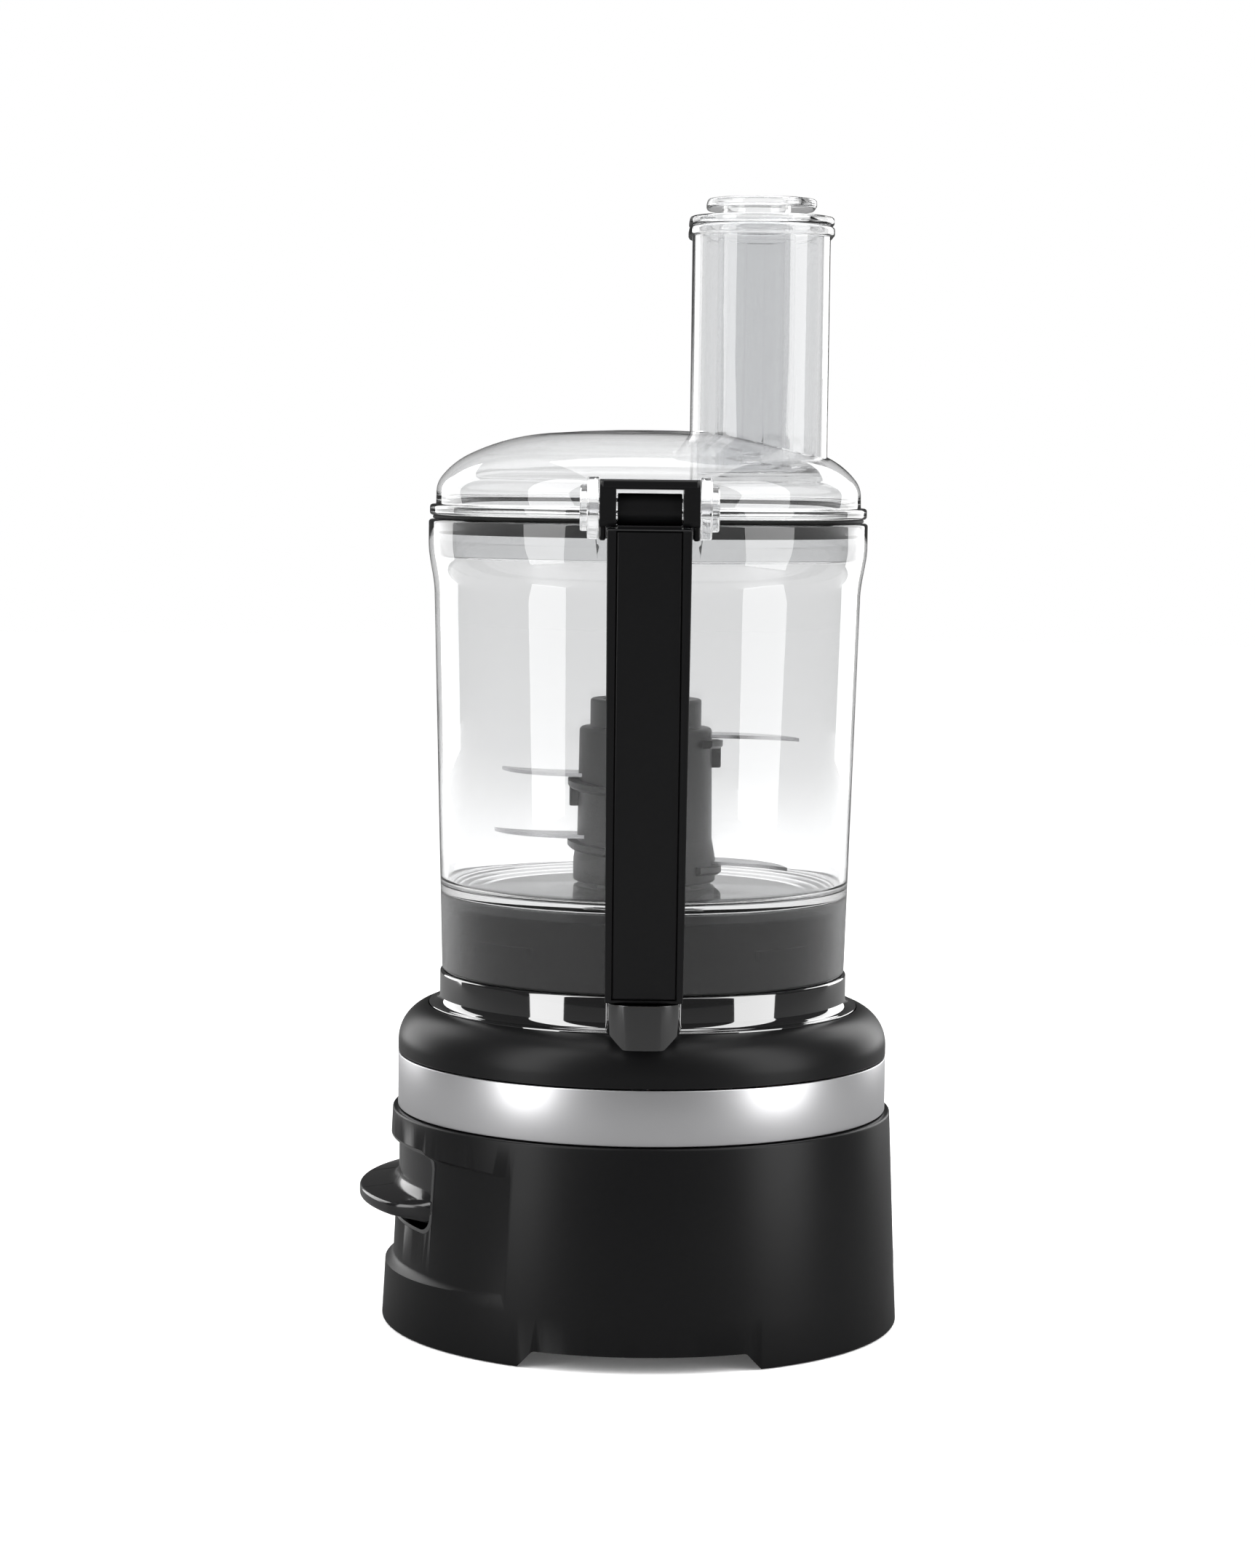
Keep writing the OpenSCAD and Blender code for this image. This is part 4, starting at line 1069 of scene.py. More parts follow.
@dataclass
class WorkBowl:
    """The clear bowl with its frosted foot, floor, chimney and flared rim."""

    foot_r: float = 79.2
    wall_r: float = 83.2
    rim_r: float = 85.7
    wall: float = 2.5
    lip: float = 1.6
    flare_h: float = 28.0
    chimney_in: float = 13.0
    chimney_wall: float = 2.2
    skirt_h: float = 33.7

    def __post_init__(self) -> None:
        """Reads the bowl's foot and rim."""
        low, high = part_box("work_bowl")
        self.foot, self.rim = low.z / MM, high.z / MM
        self.floor = self.foot + self.skirt_h
        self.chimney_top = self.floor + 54

    def radius(self, z: float) -> float:
        """The outside radius at a height.

        Args:
            z: the height in millimetres.

        Returns:
            The radius in millimetres.
        """
        low, high = self.rim - self.flare_h, self.rim - 7
        if z <= low:
            return self.foot_r + (self.wall_r - self.foot_r) * (z - self.foot) / (low - self.foot)
        return self.wall_r + (self.rim_r - self.wall_r) * ease(min(1.0, (z - low) / (high - low)))

    def flare(self, inset: float) -> list[Corner]:
        """The flare's points from below, drawn inwards.

        Args:
            inset: how far inwards, in millimetres.

        Returns:
            The points, none of them rounded.
        """
        low, high = self.rim - self.flare_h, self.rim - 7
        levels = [low + (high - low) * k / 14 for k in range(15)]
        return [(self.radius(z) - inset, z, 0) for z in levels]

    def solid(self, grow: float) -> Piece:
        """The bowl's outside as a full solid, grown a little, to cut what sits against it.

        Args:
            grow: how much it grows, in millimetres.

        Returns:
            The solid.
        """
        profile = [(0, self.foot + 1), (self.foot_r + grow, self.foot + 1),
                   *[(r, z) for r, z, _ in self.flare(-grow)],
                   (self.rim_r + grow, self.rim + 3), (0, self.rim + 3)]
        return turned("bowl_tool", profile, 240, closed=False)

    def build(self) -> None:
        """Turns the bowl and gives its foot the frosted finish, whose near-black tint is painted shade."""
        t, floor = self.wall, self.floor
        out, inn = self.chimney_in + self.chimney_wall, self.chimney_in
        at_floor = self.radius(floor)
        corners = ([(self.foot_r, self.foot, 0.9)] + self.flare(0)
                   + [(self.rim_r, self.rim + self.lip, 1.1), (self.rim_r - t, self.rim + self.lip, 1.0)]
                   + self.flare(t)[::-1]
                   + [(at_floor - t, floor, 3.5), (out, floor, 2.0), (out, self.chimney_top, 0.9),
                      (inn, self.chimney_top, 0.9), (inn, floor - t, 0.8),
                      (at_floor - t - 0.3, floor - t, 1.2), (self.foot_r - t, self.foot, 0.9)])
        bowl = turned("clear_bowl", rounded(corners, 6), 240)
        fit(bowl, CLEAR, "bowl", "work_bowl")
        bowl.data.materials.append(DARK_FROST_PAINTED_SHADE.material())
        limit = (floor - t - 0.4) * MM
        for face in bowl.data.polygons:
            if face.center.z < limit and Vector(face.center[:2]).length > (self.chimney_in + 8) * MM:
                face.material_index = 1


@dataclass
class Handle:
    """The handle's shell with its inset cover, and the catch between the latch's arms."""

    bowl: WorkBowl
    reach: float = 125.0
    foot_reach: float = 106.0
    grip_t: float = 17.0
    top_w: float = 30.6
    foot_w: float = 28.6
    cover_w: float = 24.0
    cover_t: float = 2.0
    catch_x: float = 105.5
    catch_w: float = 23.2

    def __post_init__(self) -> None:
        """Reads the handle's levels and works out its curve."""
        low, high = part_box("handle_cover")
        self.foot, self.head = low.z / MM - 0.1, high.z / MM + 3.0
        self.bend_z = self.bowl.rim - 23
        run, rise = self.reach - self.foot_reach, self.bend_z - self.foot
        self.bend_r = (run * run + rise * rise) / (2 * run)
        self.foot_top, self.head_low = self.foot + 24, self.bowl.rim - 24
        self.catch_top = self.bowl.rim + 13

    def out(self, z: float, inset: float = 0.0) -> float:
        """How far the grip's outer curve reaches at a height.

        Args:
            z: the height.
            inset: how far inwards the curve is drawn.

        Returns:
            The reach in millimetres.
        """
        radius = self.bend_r - inset
        return self.reach - self.bend_r + math.sqrt(radius ** 2 - (z - self.bend_z) ** 2)

    def curve(self, low: float, high: float, inset: float, steps: int = 22) -> list[Corner]:
        """Points up the outer curve.

        Args:
            low: the lower end.
            high: the upper end.
            inset: how far inwards the curve is drawn.
            steps: how many pieces it has.

        Returns:
            The points, none of them rounded.
        """
        levels = [low + (high - low) * k / steps for k in range(steps + 1)]
        return [(self.out(z, inset), z, 0) for z in levels]

    def width(self, z: float) -> float:
        """The handle's width at a height."""
        return self.foot_w + (self.top_w - self.foot_w) * (z - self.foot) / (self.head - self.foot)

    def block(self) -> Piece:
        """The handle from its side outline, tapered towards the foot.

        Returns:
            The block.
        """
        foot, head, inner = self.foot, self.head, self.grip_t
        outline = rounded([
            (76, foot, 0), (self.out(foot), foot, 1.5), *self.curve(foot + 6, head - 6, 0),
            (self.out(head), head, 1.5), (78, head, 0), (78, self.head_low, 0),
            (self.out(self.head_low, inner), self.head_low, 7),
            *self.curve(self.foot_top + 12, self.head_low - 12, inner)[::-1],
            (self.out(self.foot_top, inner), self.foot_top, 6), (76, self.foot_top, 0)], 6)
        block = slab("handle_shell_piece", outline, Axis.Y, -self.foot_w / 2, self.foot_w / 2)
        bpy.ops.object.mode_set(mode="EDIT")
        for level in sorted({round(z, 3) for _, z in outline}):
            pick(lambda p: abs(p.z / MM - level) < 0.002)
            bpy.ops.transform.resize(value=(1, self.width(level) / self.foot_w, 1),
                                     center_override=(0, 0, 0))
        bpy.ops.object.mode_set(mode="OBJECT")
        return block

    def strip(self, name: str, near: float, deep: float, half: float, low: float,
              high: float) -> Piece:
        """A strip that follows the grip's outer curve.

        Args:
            name: the piece's name.
            near: the depth of its outer face under the curve.
            deep: the depth of its inner face.
            half: half its width.
            low: its lower end.
            high: its upper end.

        Returns:
            The strip.
        """
        outline = [(x, z) for x, z, _ in
                   self.curve(low, high, near, 26) + self.curve(low, high, deep, 26)[::-1]]
        return slab(name, outline, Axis.Y, -half, half)

    def catch(self) -> Piece:
        """The step and the round bar between the latch's arms.

        Returns:
            The catch.
        """
        low, lip, half = self.head - 0.4, self.head + 1.1, self.catch_w / 2
        step = slab("catch", box_outline((self.catch_x, low), (self.reach - 3, lip), 0.5), Axis.Y,
                    -half, half)
        radius = (self.catch_top - lip) / 2
        middle = (self.reach - 11, lip + radius)
        roll = slab("roll", [(self.catch_x, lip - 0.4), *arc(middle, radius, -90, 90, 16),
                             (self.catch_x, self.catch_top)], Axis.Y, -half, half)
        return carve(soften(step, 0.2, 2, 50), soften(roll, 0.4, 3, 50), Cut.ADD)

    def rod(self) -> None:
        """The interlock rod, which leans out with the grip and ends inside its head."""
        low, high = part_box("interlock_rod")
        start, end = Vector((low.x / MM + 1.5, 0, low.z / MM)), Vector((high.x / MM - 1.5, 0, high.z / MM))
        length, lean = (end - start).length - 17.5, math.atan2(end.x - start.x, end.z - start.z)
        r, stop = 1.5, 3.0
        rod = turned("interlock_rod_piece", rounded([
            (0, 0, 0), (r, 0, 0.3), (r, 33, 0), (stop, 33, 0.2), (stop, 35, 0.2), (r, 35, 0),
            (r, length, 0.4), (0, length, 0)], 2), 48, closed=False)
        bpy.ops.object.mode_set(mode="EDIT")
        bpy.ops.mesh.select_all(action="SELECT")
        bpy.ops.transform.rotate(value=-lean, orient_axis="Y", center_override=(0, 0, 0))
        bpy.ops.transform.translate(value=start * MM)
        bpy.ops.object.mode_set(mode="OBJECT")
        fit(rod, NYLON, "rod", "interlock_rod")

    def build(self) -> None:
        """Cuts, rounds and dresses the shell, its catch and its cover."""
        shell = self.block()
        carve(shell, self.bowl.solid(0.1), Cut.TAKE)
        soften(shell, 2.2, 4, 50)
        half = self.cover_w / 2
        carve(shell, self.strip("recess", -4, self.cover_t, half, self.foot + 1.2, self.head - 0.8),
              Cut.TAKE)
        fit(soften(shell, 0.3, 2, 60), HANDLE, "bowl", "handle_shell")
        fit(smooth(self.catch()), HANDLE, "bowl", "handle_shell")
        self.rod()
        cover = self.strip("grip_cover", 0.35, self.cover_t - 0.05, half - 0.3, self.foot + 1.5,
                           self.head - 1.1)
        fit(soften(cover, 0.6, 3, 50), HANDLE, "bowl", "handle_cover")


# ------------------------------------------------------------------ lid, latch and pushers


@dataclass
class FeedTube:
    """Where the feed tube stands and its section, which the pushers share."""

    y: float = 42.5
    radius: float = 26.5
    span: float = 21.0
    wall: float = 2.2
    slide: float = 0.5

    def __post_init__(self) -> None:
        """Reads the tube's top level."""
        self.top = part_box("lid")[1].z / MM

    def bar(self, name: str, grow: float, low: float, high: float) -> Piece:
        """An upright bar with the tube's section.

        Args:
            name: the piece's name.
            grow: how much the section grows, in millimetres.
            low: the lower end.
            high: the upper end.

        Returns:
            The bar.
        """
        return slab(name, stadium(self.radius + grow, self.span, (0.0, self.y)), Axis.Z, low, high)


@dataclass
class Lid:
    """The clear domed lid with its flange, skirt, hinge ears and feed tube, and its gasket."""

    tube: FeedTube
    bowl: WorkBowl
    flange_r: float = 85.3
    flange_t: float = 4.3
    dome_r: float = 82.8
    dome_wall: float = 5.0
    wall: float = 2.3
    gap: float = 3.2
    pivot_x: float = 98.0
    ear_in: float = 18.4
    ear_t: float = 4.4

    def __post_init__(self) -> None:
        """Works out the lid's levels from the bowl's rim."""
        self.flange = self.bowl.rim + self.gap
        self.pivot_z = self.flange + self.flange_t
        self.skirt_r = self.bowl.rim_r - self.bowl.wall - 1.4

    def dome(self, inset: float) -> list[Flat]:
        """The dome's profile from its crown outwards: four arcs that meet smoothly.

        Args:
            inset: how far inwards, in millimetres.

        Returns:
            Radius and height of each point.
        """
        radii, ends, steps = [484, 85, 31, 10], [4.7, 26, 52, 88], [3, 10, 10, 10]
        centres, start = [(0.0, -radii[0])], [0.0, *ends[:-1]]
        for i in range(1, 4):
            a, shift = math.radians(start[i]), radii[i - 1] - radii[i]
            centres.append((centres[-1][0] + shift * math.sin(a), centres[-1][1] + shift * math.cos(a)))
        a = math.radians(ends[-1])
        last = (centres[3][0] + radii[3] * math.sin(a), centres[3][1] + radii[3] * math.cos(a))
        shift_x, crown = self.dome_r - last[0], self.pivot_z + self.dome_wall - last[1]
        points: list[Flat] = [(0.0, crown - inset)]
        for (x, z), radius, first, end, count in zip(centres, radii, start, ends, steps):
            for k in range(0 if not first else 1, count + 1):
                a = math.radians(first + (end - first) * k / count)
                points.append((shift_x + x + (radius - inset) * math.sin(a),
                               crown + z + (radius - inset) * math.cos(a)))
        return points

    def cap(self) -> Piece:
        """The turned dome with its flange and its skirt inside the bowl's rim.

        Returns:
            The dome.
        """
        skirt, low, base = self.skirt_r, self.bowl.rim - 13, self.flange
        outside, inside = self.dome(0), self.dome(self.wall)
        rim = rounded([
            (self.dome_r + 0.1, self.pivot_z + 0.4, 0), (self.dome_r + 0.3, self.pivot_z, 0),
            (self.flange_r, self.pivot_z, 1.2), (self.flange_r, base, 1.2), (skirt, base, 0),
            (skirt, low, 1.0), (skirt - self.wall, low, 1.0), (skirt - self.wall, base + 2, 0.6),
            (inside[-1][0], base + 2.4, 0)], 6)
        return turned("clear_lid", [*outside, *rim, *inside[::-1]], 240, closed=False)

    def ear(self) -> Piece:
        """One hinge ear, with its outer disc.

        Returns:
            The ear.
        """
        inner, outer = self.ear_in, self.ear_in + self.ear_t
        ear = slab("ear", arc((self.pivot_x, self.pivot_z), 11.5, 0, 345, 40), Axis.Y, inner, outer)
        neck = slab("neck", box_outline((self.dome_r - 6, self.flange + 0.6),
                                        (self.pivot_x, self.flange + 12), 0.8), Axis.Y,
                    inner + 0.05, outer - 0.05)
        soften(ear, 0.8, 3, 50)
        carve(ear, neck, Cut.ADD)
        disc = slab("disc", arc((self.pivot_x, self.pivot_z), 8.5, 0, 345, 32), Axis.Y, outer - 0.5,
                    outer + 2.6)
        carve(ear, soften(disc, 0.7, 3, 50), Cut.ADD)
        return ear

    def build(self) -> None:
        """Joins the dome, ears and tube, opens the tube and dresses lid and gasket."""
        lid = self.cap()
        ear = self.ear()
        carve(lid, mirrored(ear, "other_ear"), Cut.ADD)
        carve(lid, ear, Cut.ADD)
        low, top = self.pivot_z + 12, self.tube.top
        tube = self.tube.bar("tube", 0, low, top - 1)
        lip = soften(self.tube.bar("tube_lip", 1.6, top - 4, top), 1.3, 4, 50)
        carve(tube, lip, Cut.ADD)
        carve(lid, tube, Cut.ADD)
        carve(lid, self.tube.bar("bore", -self.tube.wall, low - 5, top + 5), Cut.TAKE)
        pin = slab("pin_tool", arc((self.pivot_x, self.pivot_z), 2.05, 0, 345, 24), Axis.Y, -40, 40)
        carve(lid, pin, Cut.TAKE)
        fit(smooth(lid, 30), LID_TINT_PAINTED_SHADE, "lid", "lid")
        near, out, low = self.skirt_r + 0.1, self.flange_r - 1.2, self.flange - 1.3
        ring = rounded([(near, self.bowl.rim - 4, 0), (near + 0.9, self.bowl.rim - 4, 0.3),
                        (near + 0.9, low, 0), (out, low, 0.4), (out, self.flange - 0.05, 0.4),
                        (near, self.flange - 0.05, 0)], 4)
        fit(turned("rim_gasket", ring, 240), RUBBER, "lid", "lid_gasket")


@dataclass
class Latch:
    """The latch: two arms with tails, joined by a top plate."""

    pivot_x: float = 98.0
    pivot_z: float = 320.5
    knuckle: float = 6.5
    width: float = 36.2
    inner: float = 12.2
    reach: float = 121.5

    def build(self) -> None:
        """Builds one arm, mirrors it, adds the plate and dresses the latch."""
        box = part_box("latch")
        top, low, tail = box[1].z / MM, self.pivot_z - 6.7, box[0].z / MM
        half = self.width / 2
        outline = (rounded([(self.pivot_x, low, 0), (self.reach, low, 2.5), (self.reach, top, 5.0),
                            (self.pivot_x, top, 1.0)], 8)
                   + arc((self.pivot_x, self.pivot_z), self.knuckle, 90, 270, 18))
        arm = slab("latch_piece", outline, Axis.Y, self.inner, half)
        end = slab("tail", box_outline((self.pivot_x + 2, tail), (self.reach - 2, low + 4), 2.0),
                   Axis.Y, half - 2.2, half)
        soften(arm, 1.2, 3, 50)
        carve(arm, soften(end, 0.6, 2, 50), Cut.ADD)
        other = mirrored(arm, "other_arm")
        carve(arm, other, Cut.ADD)
        plate = slab("plate", box_outline((self.pivot_x - 0.9, top - 3.6), (self.reach - 0.05, top - 0.02),
                                          1.4), Axis.Y, -half + 0.6, half - 0.6)
        carve(arm, soften(plate, 0.8, 3, 50), Cut.ADD)
        fit(smooth(arm), HANDLE, "latch", "latch")


@dataclass
class Pushers:
    """The food pusher, and the small pusher that slides in it."""

    tube: FeedTube
    wall: float = 1.8
    cap_h: float = 3.4
    small_r: float = 13.4
    sleeve_shift: float = -1.8

    def __post_init__(self) -> None:
        """Reads the pushers' levels."""
        self.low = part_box("food_pusher")[0].z / MM
        self.cap = self.tube.top + 0.3
        self.small_low, self.small_top = (p.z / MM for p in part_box("small_pusher"))
        self.sleeve = (0.0, self.tube.y + self.sleeve_shift)

    def big(self) -> None:
        """The food pusher: a hollow bar with a cap and a round sleeve."""
        shrink, t, top = -(self.tube.wall + self.tube.slide), self.wall, self.cap + self.cap_h
        pusher = self.tube.bar("clear_pusher", shrink, self.low, top - 1)
        soften(pusher, 1.0, 3, 50)
        carve(pusher, soften(self.tube.bar("cap", 1.4, self.cap, top), 1.2, 4, 50), Cut.ADD)
        carve(pusher, self.tube.bar("hollow", shrink - t, self.low + t, top - t), Cut.TAKE)
        outer = self.small_r + self.tube.slide + t
        sleeve = slab("sleeve", arc(self.sleeve, outer, 0, 354, 59), Axis.Z, self.low + t / 2,
                      top - t / 2)
        carve(pusher, sleeve, Cut.ADD)
        bore = slab("bore", arc(self.sleeve, outer - t, 0, 354, 59), Axis.Z, self.low - 5, top + 5)
        carve(pusher, bore, Cut.TAKE)
        fit(smooth(pusher, 30), PUSHER_TINT_PAINTED_SHADE, "big_pusher", "food_pusher")

    def small(self) -> None:
        """The small pusher: an open cup with a wide rim and a rib down its back."""
        low, top, t = self.small_low, self.small_top, self.wall
        cup = slab("clear_small_pusher", arc(self.sleeve, self.small_r, 0, 354, 59), Axis.Z, low,
                   top - 2.5)
        rim = slab("rim", stadium(21.2, 15.0, (0.0, self.tube.y)), Axis.Z, top - 3.6, top)
        carve(cup, soften(rim, 1.3, 4, 50), Cut.ADD)
        bore = slab("bore", arc(self.sleeve, self.small_r - t, 0, 354, 59), Axis.Z, low + t, top + 5)
        carve(cup, bore, Cut.TAKE)
        x, y = self.sleeve
        rib = slab("rib", box_outline((x - self.small_r + 0.6, y - 4), (x - self.small_r + 3.4, y + 4),
                                      0.8), Axis.Z, low + 0.8, top - 14)
        carve(cup, rib, Cut.ADD)
        fit(smooth(cup, 30), PUSHER_TINT_PAINTED_SHADE, "inner_pusher", "small_pusher")

    def build(self) -> None:
        """Builds both pushers."""
        self.big()
        self.small()


# ------------------------------------------------------------------ blade unit and works


@dataclass
class BladeUnit:
    """The textured hub with a rising ledge under each blade, and the four blades."""

    radius: float = 26.5
    ledge_r: float = 30.4
    ledge_h: float = 3.2
    blades: tuple[tuple[str, float, float], ...] = (
        ("top_blade", 57.0, 88.0), ("upper_blade", 41.5, 262.0), ("lower_blade", 17.5, 270.0),
        ("bottom_blade", 7.5, 76.0))

    def __post_init__(self) -> None:
        """Reads the hub's foot and its shoulder."""
        low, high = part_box("blade_hub")
        self.foot, self.top = low.z / MM, high.z / MM
        self.shoulder = self.top - 11

    def core(self) -> Piece:
        """The turned hub.

        Returns:
            The hub, without its ledges.
        """
        f, s, r = self.foot, self.shoulder, self.radius
        return turned("hub_body", rounded([
            (r + 1.5, f, 1.0), (r + 1.5, f + 9, 2.0), (r, f + 17, 3.0), (r - 0.5, s - 0.2, 1.6),
            (21.8, s, 0.8), (21.8, self.top, 1.0), (17, self.top, 0.8), (17, s + 1, 0.5),
            (13, s + 1, 0.5), (13, s + 7, 0.6), (10, s + 7, 0.4), (10, s - 4.6, 0), (16.6, s - 4.6, 0),
            (16.6, f, 0.5), (18.5, f, 0.5), (18.5, s - 6, 0), (22.5, s - 6, 0), (23, f + 1, 0)], 4), 120)

    def ledge(self, height: float, first: float, sweep: float, rise: float) -> Piece:
        """A ledge that climbs round the hub, made by extruding and turning its end face.

        Args:
            height: the level of its top at the start.
            first: the heading where it starts, in degrees.
            sweep: how far round it goes.
            rise: how much it climbs.

        Returns:
            The ledge.
        """
        a, steps = math.radians(first), 24
        inner, outer = self.radius - 2, self.ledge_r
        section = [(inner, height - self.ledge_h), (outer - 1, height - self.ledge_h),
                   (outer, height - self.ledge_h + 1), (outer, height), (inner, height)]
        clear_bench()
        draw_wire([Vector((r * math.cos(a), r * math.sin(a), z)) * MM for r, z in section], True)
        bpy.ops.mesh.select_all(action="SELECT")
        bpy.ops.mesh.remove_doubles(threshold=MM * 0.002)
        bpy.ops.mesh.edge_face_add()
        for _ in range(steps):
            bpy.ops.mesh.extrude_region_move(
                TRANSFORM_OT_translate={"value": (0, 0, rise / steps * MM)})
            bpy.ops.transform.rotate(value=-math.radians(sweep / steps), orient_axis="Z",
                                     center_override=(0, 0, 0))
        weld()
        return off_bench("ledge")

    def clip(self, height: float, heading: float) -> Piece:
        """The small clip that hangs under a blade's root.

        Args:
            height: the blade's level.
            heading: where it hangs, in degrees.

        Returns:
            The clip.
        """
        piece = slab("clip", box_outline((self.radius - 1.5, -2.6), (self.radius + 3.2, 2.6), 0.8),
                     Axis.Z, height - 12, height - 1)
        take_up(piece)
        bpy.ops.object.mode_set(mode="EDIT")
        bpy.ops.mesh.select_all(action="SELECT")
        bpy.ops.transform.rotate(value=-math.radians(heading), orient_axis="Z",
                                 center_override=(0, 0, 0))
        return off_bench("clip")

    def build(self) -> None:
        """Builds the hub and dresses the blades."""
        hub = self.core()
        for name, height, heading in self.blades:
            level = self.foot + height
            carve(hub, self.ledge(level - 0.05, heading - 30, 140, -4.0), Cut.ADD)
            if height > 30:
                carve(hub, soften(self.clip(level, heading + 8), 0.6, 2, 50), Cut.ADD)
            dress(name, BLADE)
        fit(smooth(hub, 38), HUB, "blades", "blade_hub")


def dress(node: str, finish: Finish) -> None:
    """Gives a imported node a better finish, with its shape as it is.

    Args:
        node: the node's name.
        finish: its finish.
    """
    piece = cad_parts[node]
    piece.data.materials.clear()
    piece.data.materials.append(finish.material())
    LOG.info("%s: packed shape, dressed in %s", node, finish.name)


@dataclass
class Works:
    """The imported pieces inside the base, the handle and the pocket, which keep their shape."""

    def build(self) -> None:
        """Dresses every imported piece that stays."""
        for finish, nodes in {
            COVER: ["bottom_cover"],
            RUBBER: ["rubber_feet", "drive_belt"],
            STEEL: ["cover_screws", "lower_bearing", "upper_bearing", "key_rod", "off_key_spring",
                    "run_key_spring", "pulse_key_spring", "motor_shaft", "drive_shaft",
                    "handle_screws", "rod_spring", "latch_pins"],
            BOARD: ["lock_sensor", "control_board"],
            ALLOY: ["chassis_plate", "motor_frame"],
            IRON: ["field_core", "armature"],
            COPPER: ["field_coils", "armature_windings", "commutator"],
            CARBON: ["carbon_brushes"],
            GLOSS: ["key_frame"],
            DARK_NYLON: ["key_switches", "cooling_fan", "motor_pulley", "drive_pulley"],
            NYLON: ["drive_coupling"],
        }.items():
            for node in nodes:
                dress(node, finish)


# ------------------------------------------------------------------ studio


@dataclass
class Softbox:
    """One rectangular light."""

    name: str
    heading: float
    distance: float
    height: float
    width: float
    tall: float
    power: float

    def build(self) -> None:
        """Hangs the light, aimed at the middle of the bowl."""
        a = math.radians(self.heading)
        data = bpy.data.lights.new(self.name, "AREA")
        data.shape, data.size, data.size_y, data.energy = "RECTANGLE", self.width, self.tall, self.power
        lamp = bpy.data.objects.new(self.name, data)
        lamp.location = (self.distance * math.cos(a), self.distance * math.sin(a), self.height)
        aim = Vector((0, 0, 0.2)) - lamp.location
        lamp.rotation_euler = aim.to_track_quat("-Z", "Y").to_euler()
        lamp.visible_camera = False
        lamp.visible_transmission = False
        bpy.context.scene.collection.objects.link(lamp)


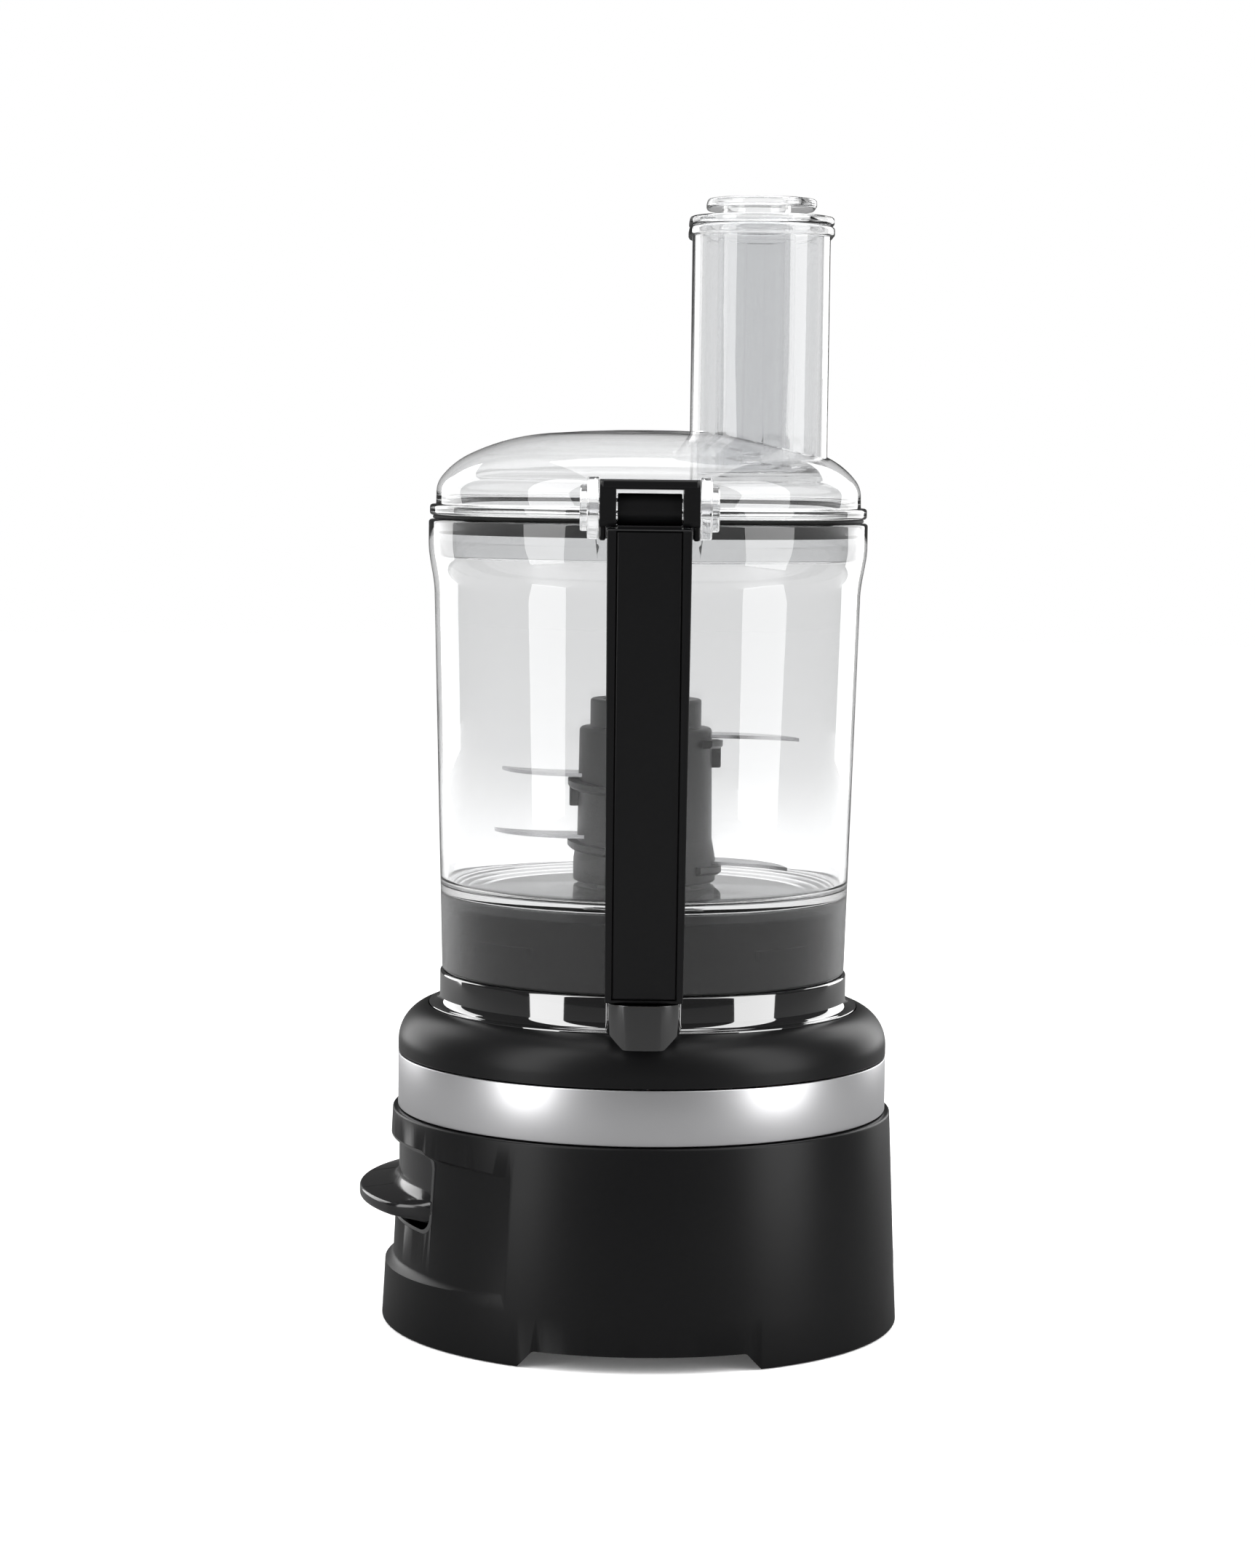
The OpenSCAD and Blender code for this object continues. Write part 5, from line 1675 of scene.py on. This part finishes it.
@dataclass
class Studio:
    """The camera, the pale floor, the white surround and the soft lights."""

    distance: float = 1.42
    height: float = 0.333
    aside: float = -0.0069
    pitch: float = 4.9
    roll: float = 0.68
    lens: float = 83.1

    def camera(self) -> None:
        """Sets the camera up in front of the handle."""
        data = bpy.data.cameras.new("front_camera")
        data.lens, data.sensor_width = self.lens, 36.0
        data.clip_start, data.clip_end = 0.02, 30.0
        camera = bpy.data.objects.new("front_camera", data)
        camera.rotation_euler = (math.radians(90 - self.pitch), 0.0, math.radians(90))
        camera.rotation_euler.rotate_axis("Z", math.radians(self.roll))
        camera.location = (self.distance, self.aside, self.height)
        bpy.context.scene.collection.objects.link(camera)
        bpy.context.scene.camera = camera

    def mirror_rays(self, tree: bpy.types.NodeTree) -> bpy.types.NodeSocket:
        """A socket that is 1 for rays that a surface reflected, and 0 for all others.

        Args:
            tree: the node tree of the floor or the surround.

        Returns:
            The socket.
        """
        path = put(tree, "LightPath")
        return put(tree, "Math", {0: path.outputs["Is Glossy Ray"],
                                  1: path.outputs["Is Transmission Ray"]},
                   operation="SUBTRACT", use_clamp=True).outputs["Value"]

    def floor(self) -> None:
        """Lays a wide pale floor."""
        clear_bench()
        bpy.ops.mesh.primitive_circle_add(vertices=96, radius=6.0, fill_type="NGON", location=(0, 0, -0.0002))
        floor = off_bench("floor")
        material = bpy.data.materials.new("pale_floor")
        material.use_nodes = True
        tree = material.node_tree
        shader = tree.nodes["Principled BSDF"]
        noise = put(tree, "TexNoise", {"Vector": put(tree, "TexCoord").outputs["Object"], "Scale": 3.0})
        tone = put(tree, "MapRange", {"Value": noise.outputs["Fac"], "To Min": 0.92, "To Max": 0.95})
        mirror = put(tree, "Math", {0: self.mirror_rays(tree), 1: -0.85, 2: 1.0},
                     operation="MULTIPLY_ADD")
        seen = put(tree, "Math", {0: tone.outputs["Result"], 1: mirror.outputs["Value"]},
                   operation="MULTIPLY")
        tree.links.new(seen.outputs["Value"], shader.inputs["Base Color"])
        glow = put(tree, "Math", {0: mirror.outputs["Value"], 1: 0.07}, operation="MULTIPLY")
        shader.inputs["Emission Strength"].default_value = 1.0
        tree.links.new(glow.outputs["Value"], shader.inputs["Emission Color"])
        shader.inputs["Roughness"].default_value = 0.9
        shader.inputs["Specular IOR Level"].default_value = 0.0
        floor.data.materials.append(material)

    def surround(self) -> None:
        """A white surround that is dim for glossy rays, so that black pieces stay black."""
        world = bpy.data.worlds.new("surround")
        bpy.context.scene.world = world
        world.use_nodes = True
        tree = world.node_tree
        back = tree.nodes["Background"]
        back.inputs["Color"].default_value = (1, 1, 1, 1)
        path = put(tree, "LightPath")
        through = put(tree, "Math", {0: path.outputs["Transmission Depth"], 1: 0.5},
                      operation="GREATER_THAN")
        low = put(tree, "Math", {0: through.outputs["Value"], 1: 0.22, 2: -0.92},
                  operation="MULTIPLY_ADD")
        soft = put(tree, "Math", {0: self.mirror_rays(tree), 1: low.outputs["Value"], 2: 1.0},
                   operation="MULTIPLY_ADD")
        tree.links.new(soft.outputs["Value"], back.inputs["Strength"])

    def build(self) -> None:
        """Builds the whole studio."""
        self.camera()
        self.floor()
        self.surround()
        for box in (
            Softbox("left_softbox", -53, 0.8, 0.55, 0.36, 1.2, 7),
            Softbox("right_softbox", 63, 0.8, 0.55, 0.46, 1.2, 8),
            Softbox("back_left_softbox", -135, 1.7, 0.6, 0.9, 1.4, 12),
            Softbox("back_right_softbox", 140, 1.7, 0.6, 0.9, 1.4, 12),
            Softbox("top_softbox", 180, 0.15, 1.9, 1.3, 1.3, 16),
        ):
            box.build()
        scene = bpy.context.scene
        scene.view_settings.view_transform = "Standard"
        scene.cycles.max_bounces = 32
        scene.cycles.transmission_bounces = 32
        scene.cycles.glossy_bounces = 8
        LOG.info("studio ready")


def main() -> None:
    """Builds every sub-assembly in order, then the studio."""
    logging.basicConfig(level=logging.INFO, format="%(message)s")
    bowl = WorkBowl()
    tube = FeedTube()
    for part in (LowerHousing(), UpperBase(), KeyRow(), bowl, Handle(bowl), Lid(tube, bowl), Latch(),
                 Pushers(tube), BladeUnit(), Works(), Studio()):
        part.build()
    clear_bench()


if __name__ == "__main__":
    main()
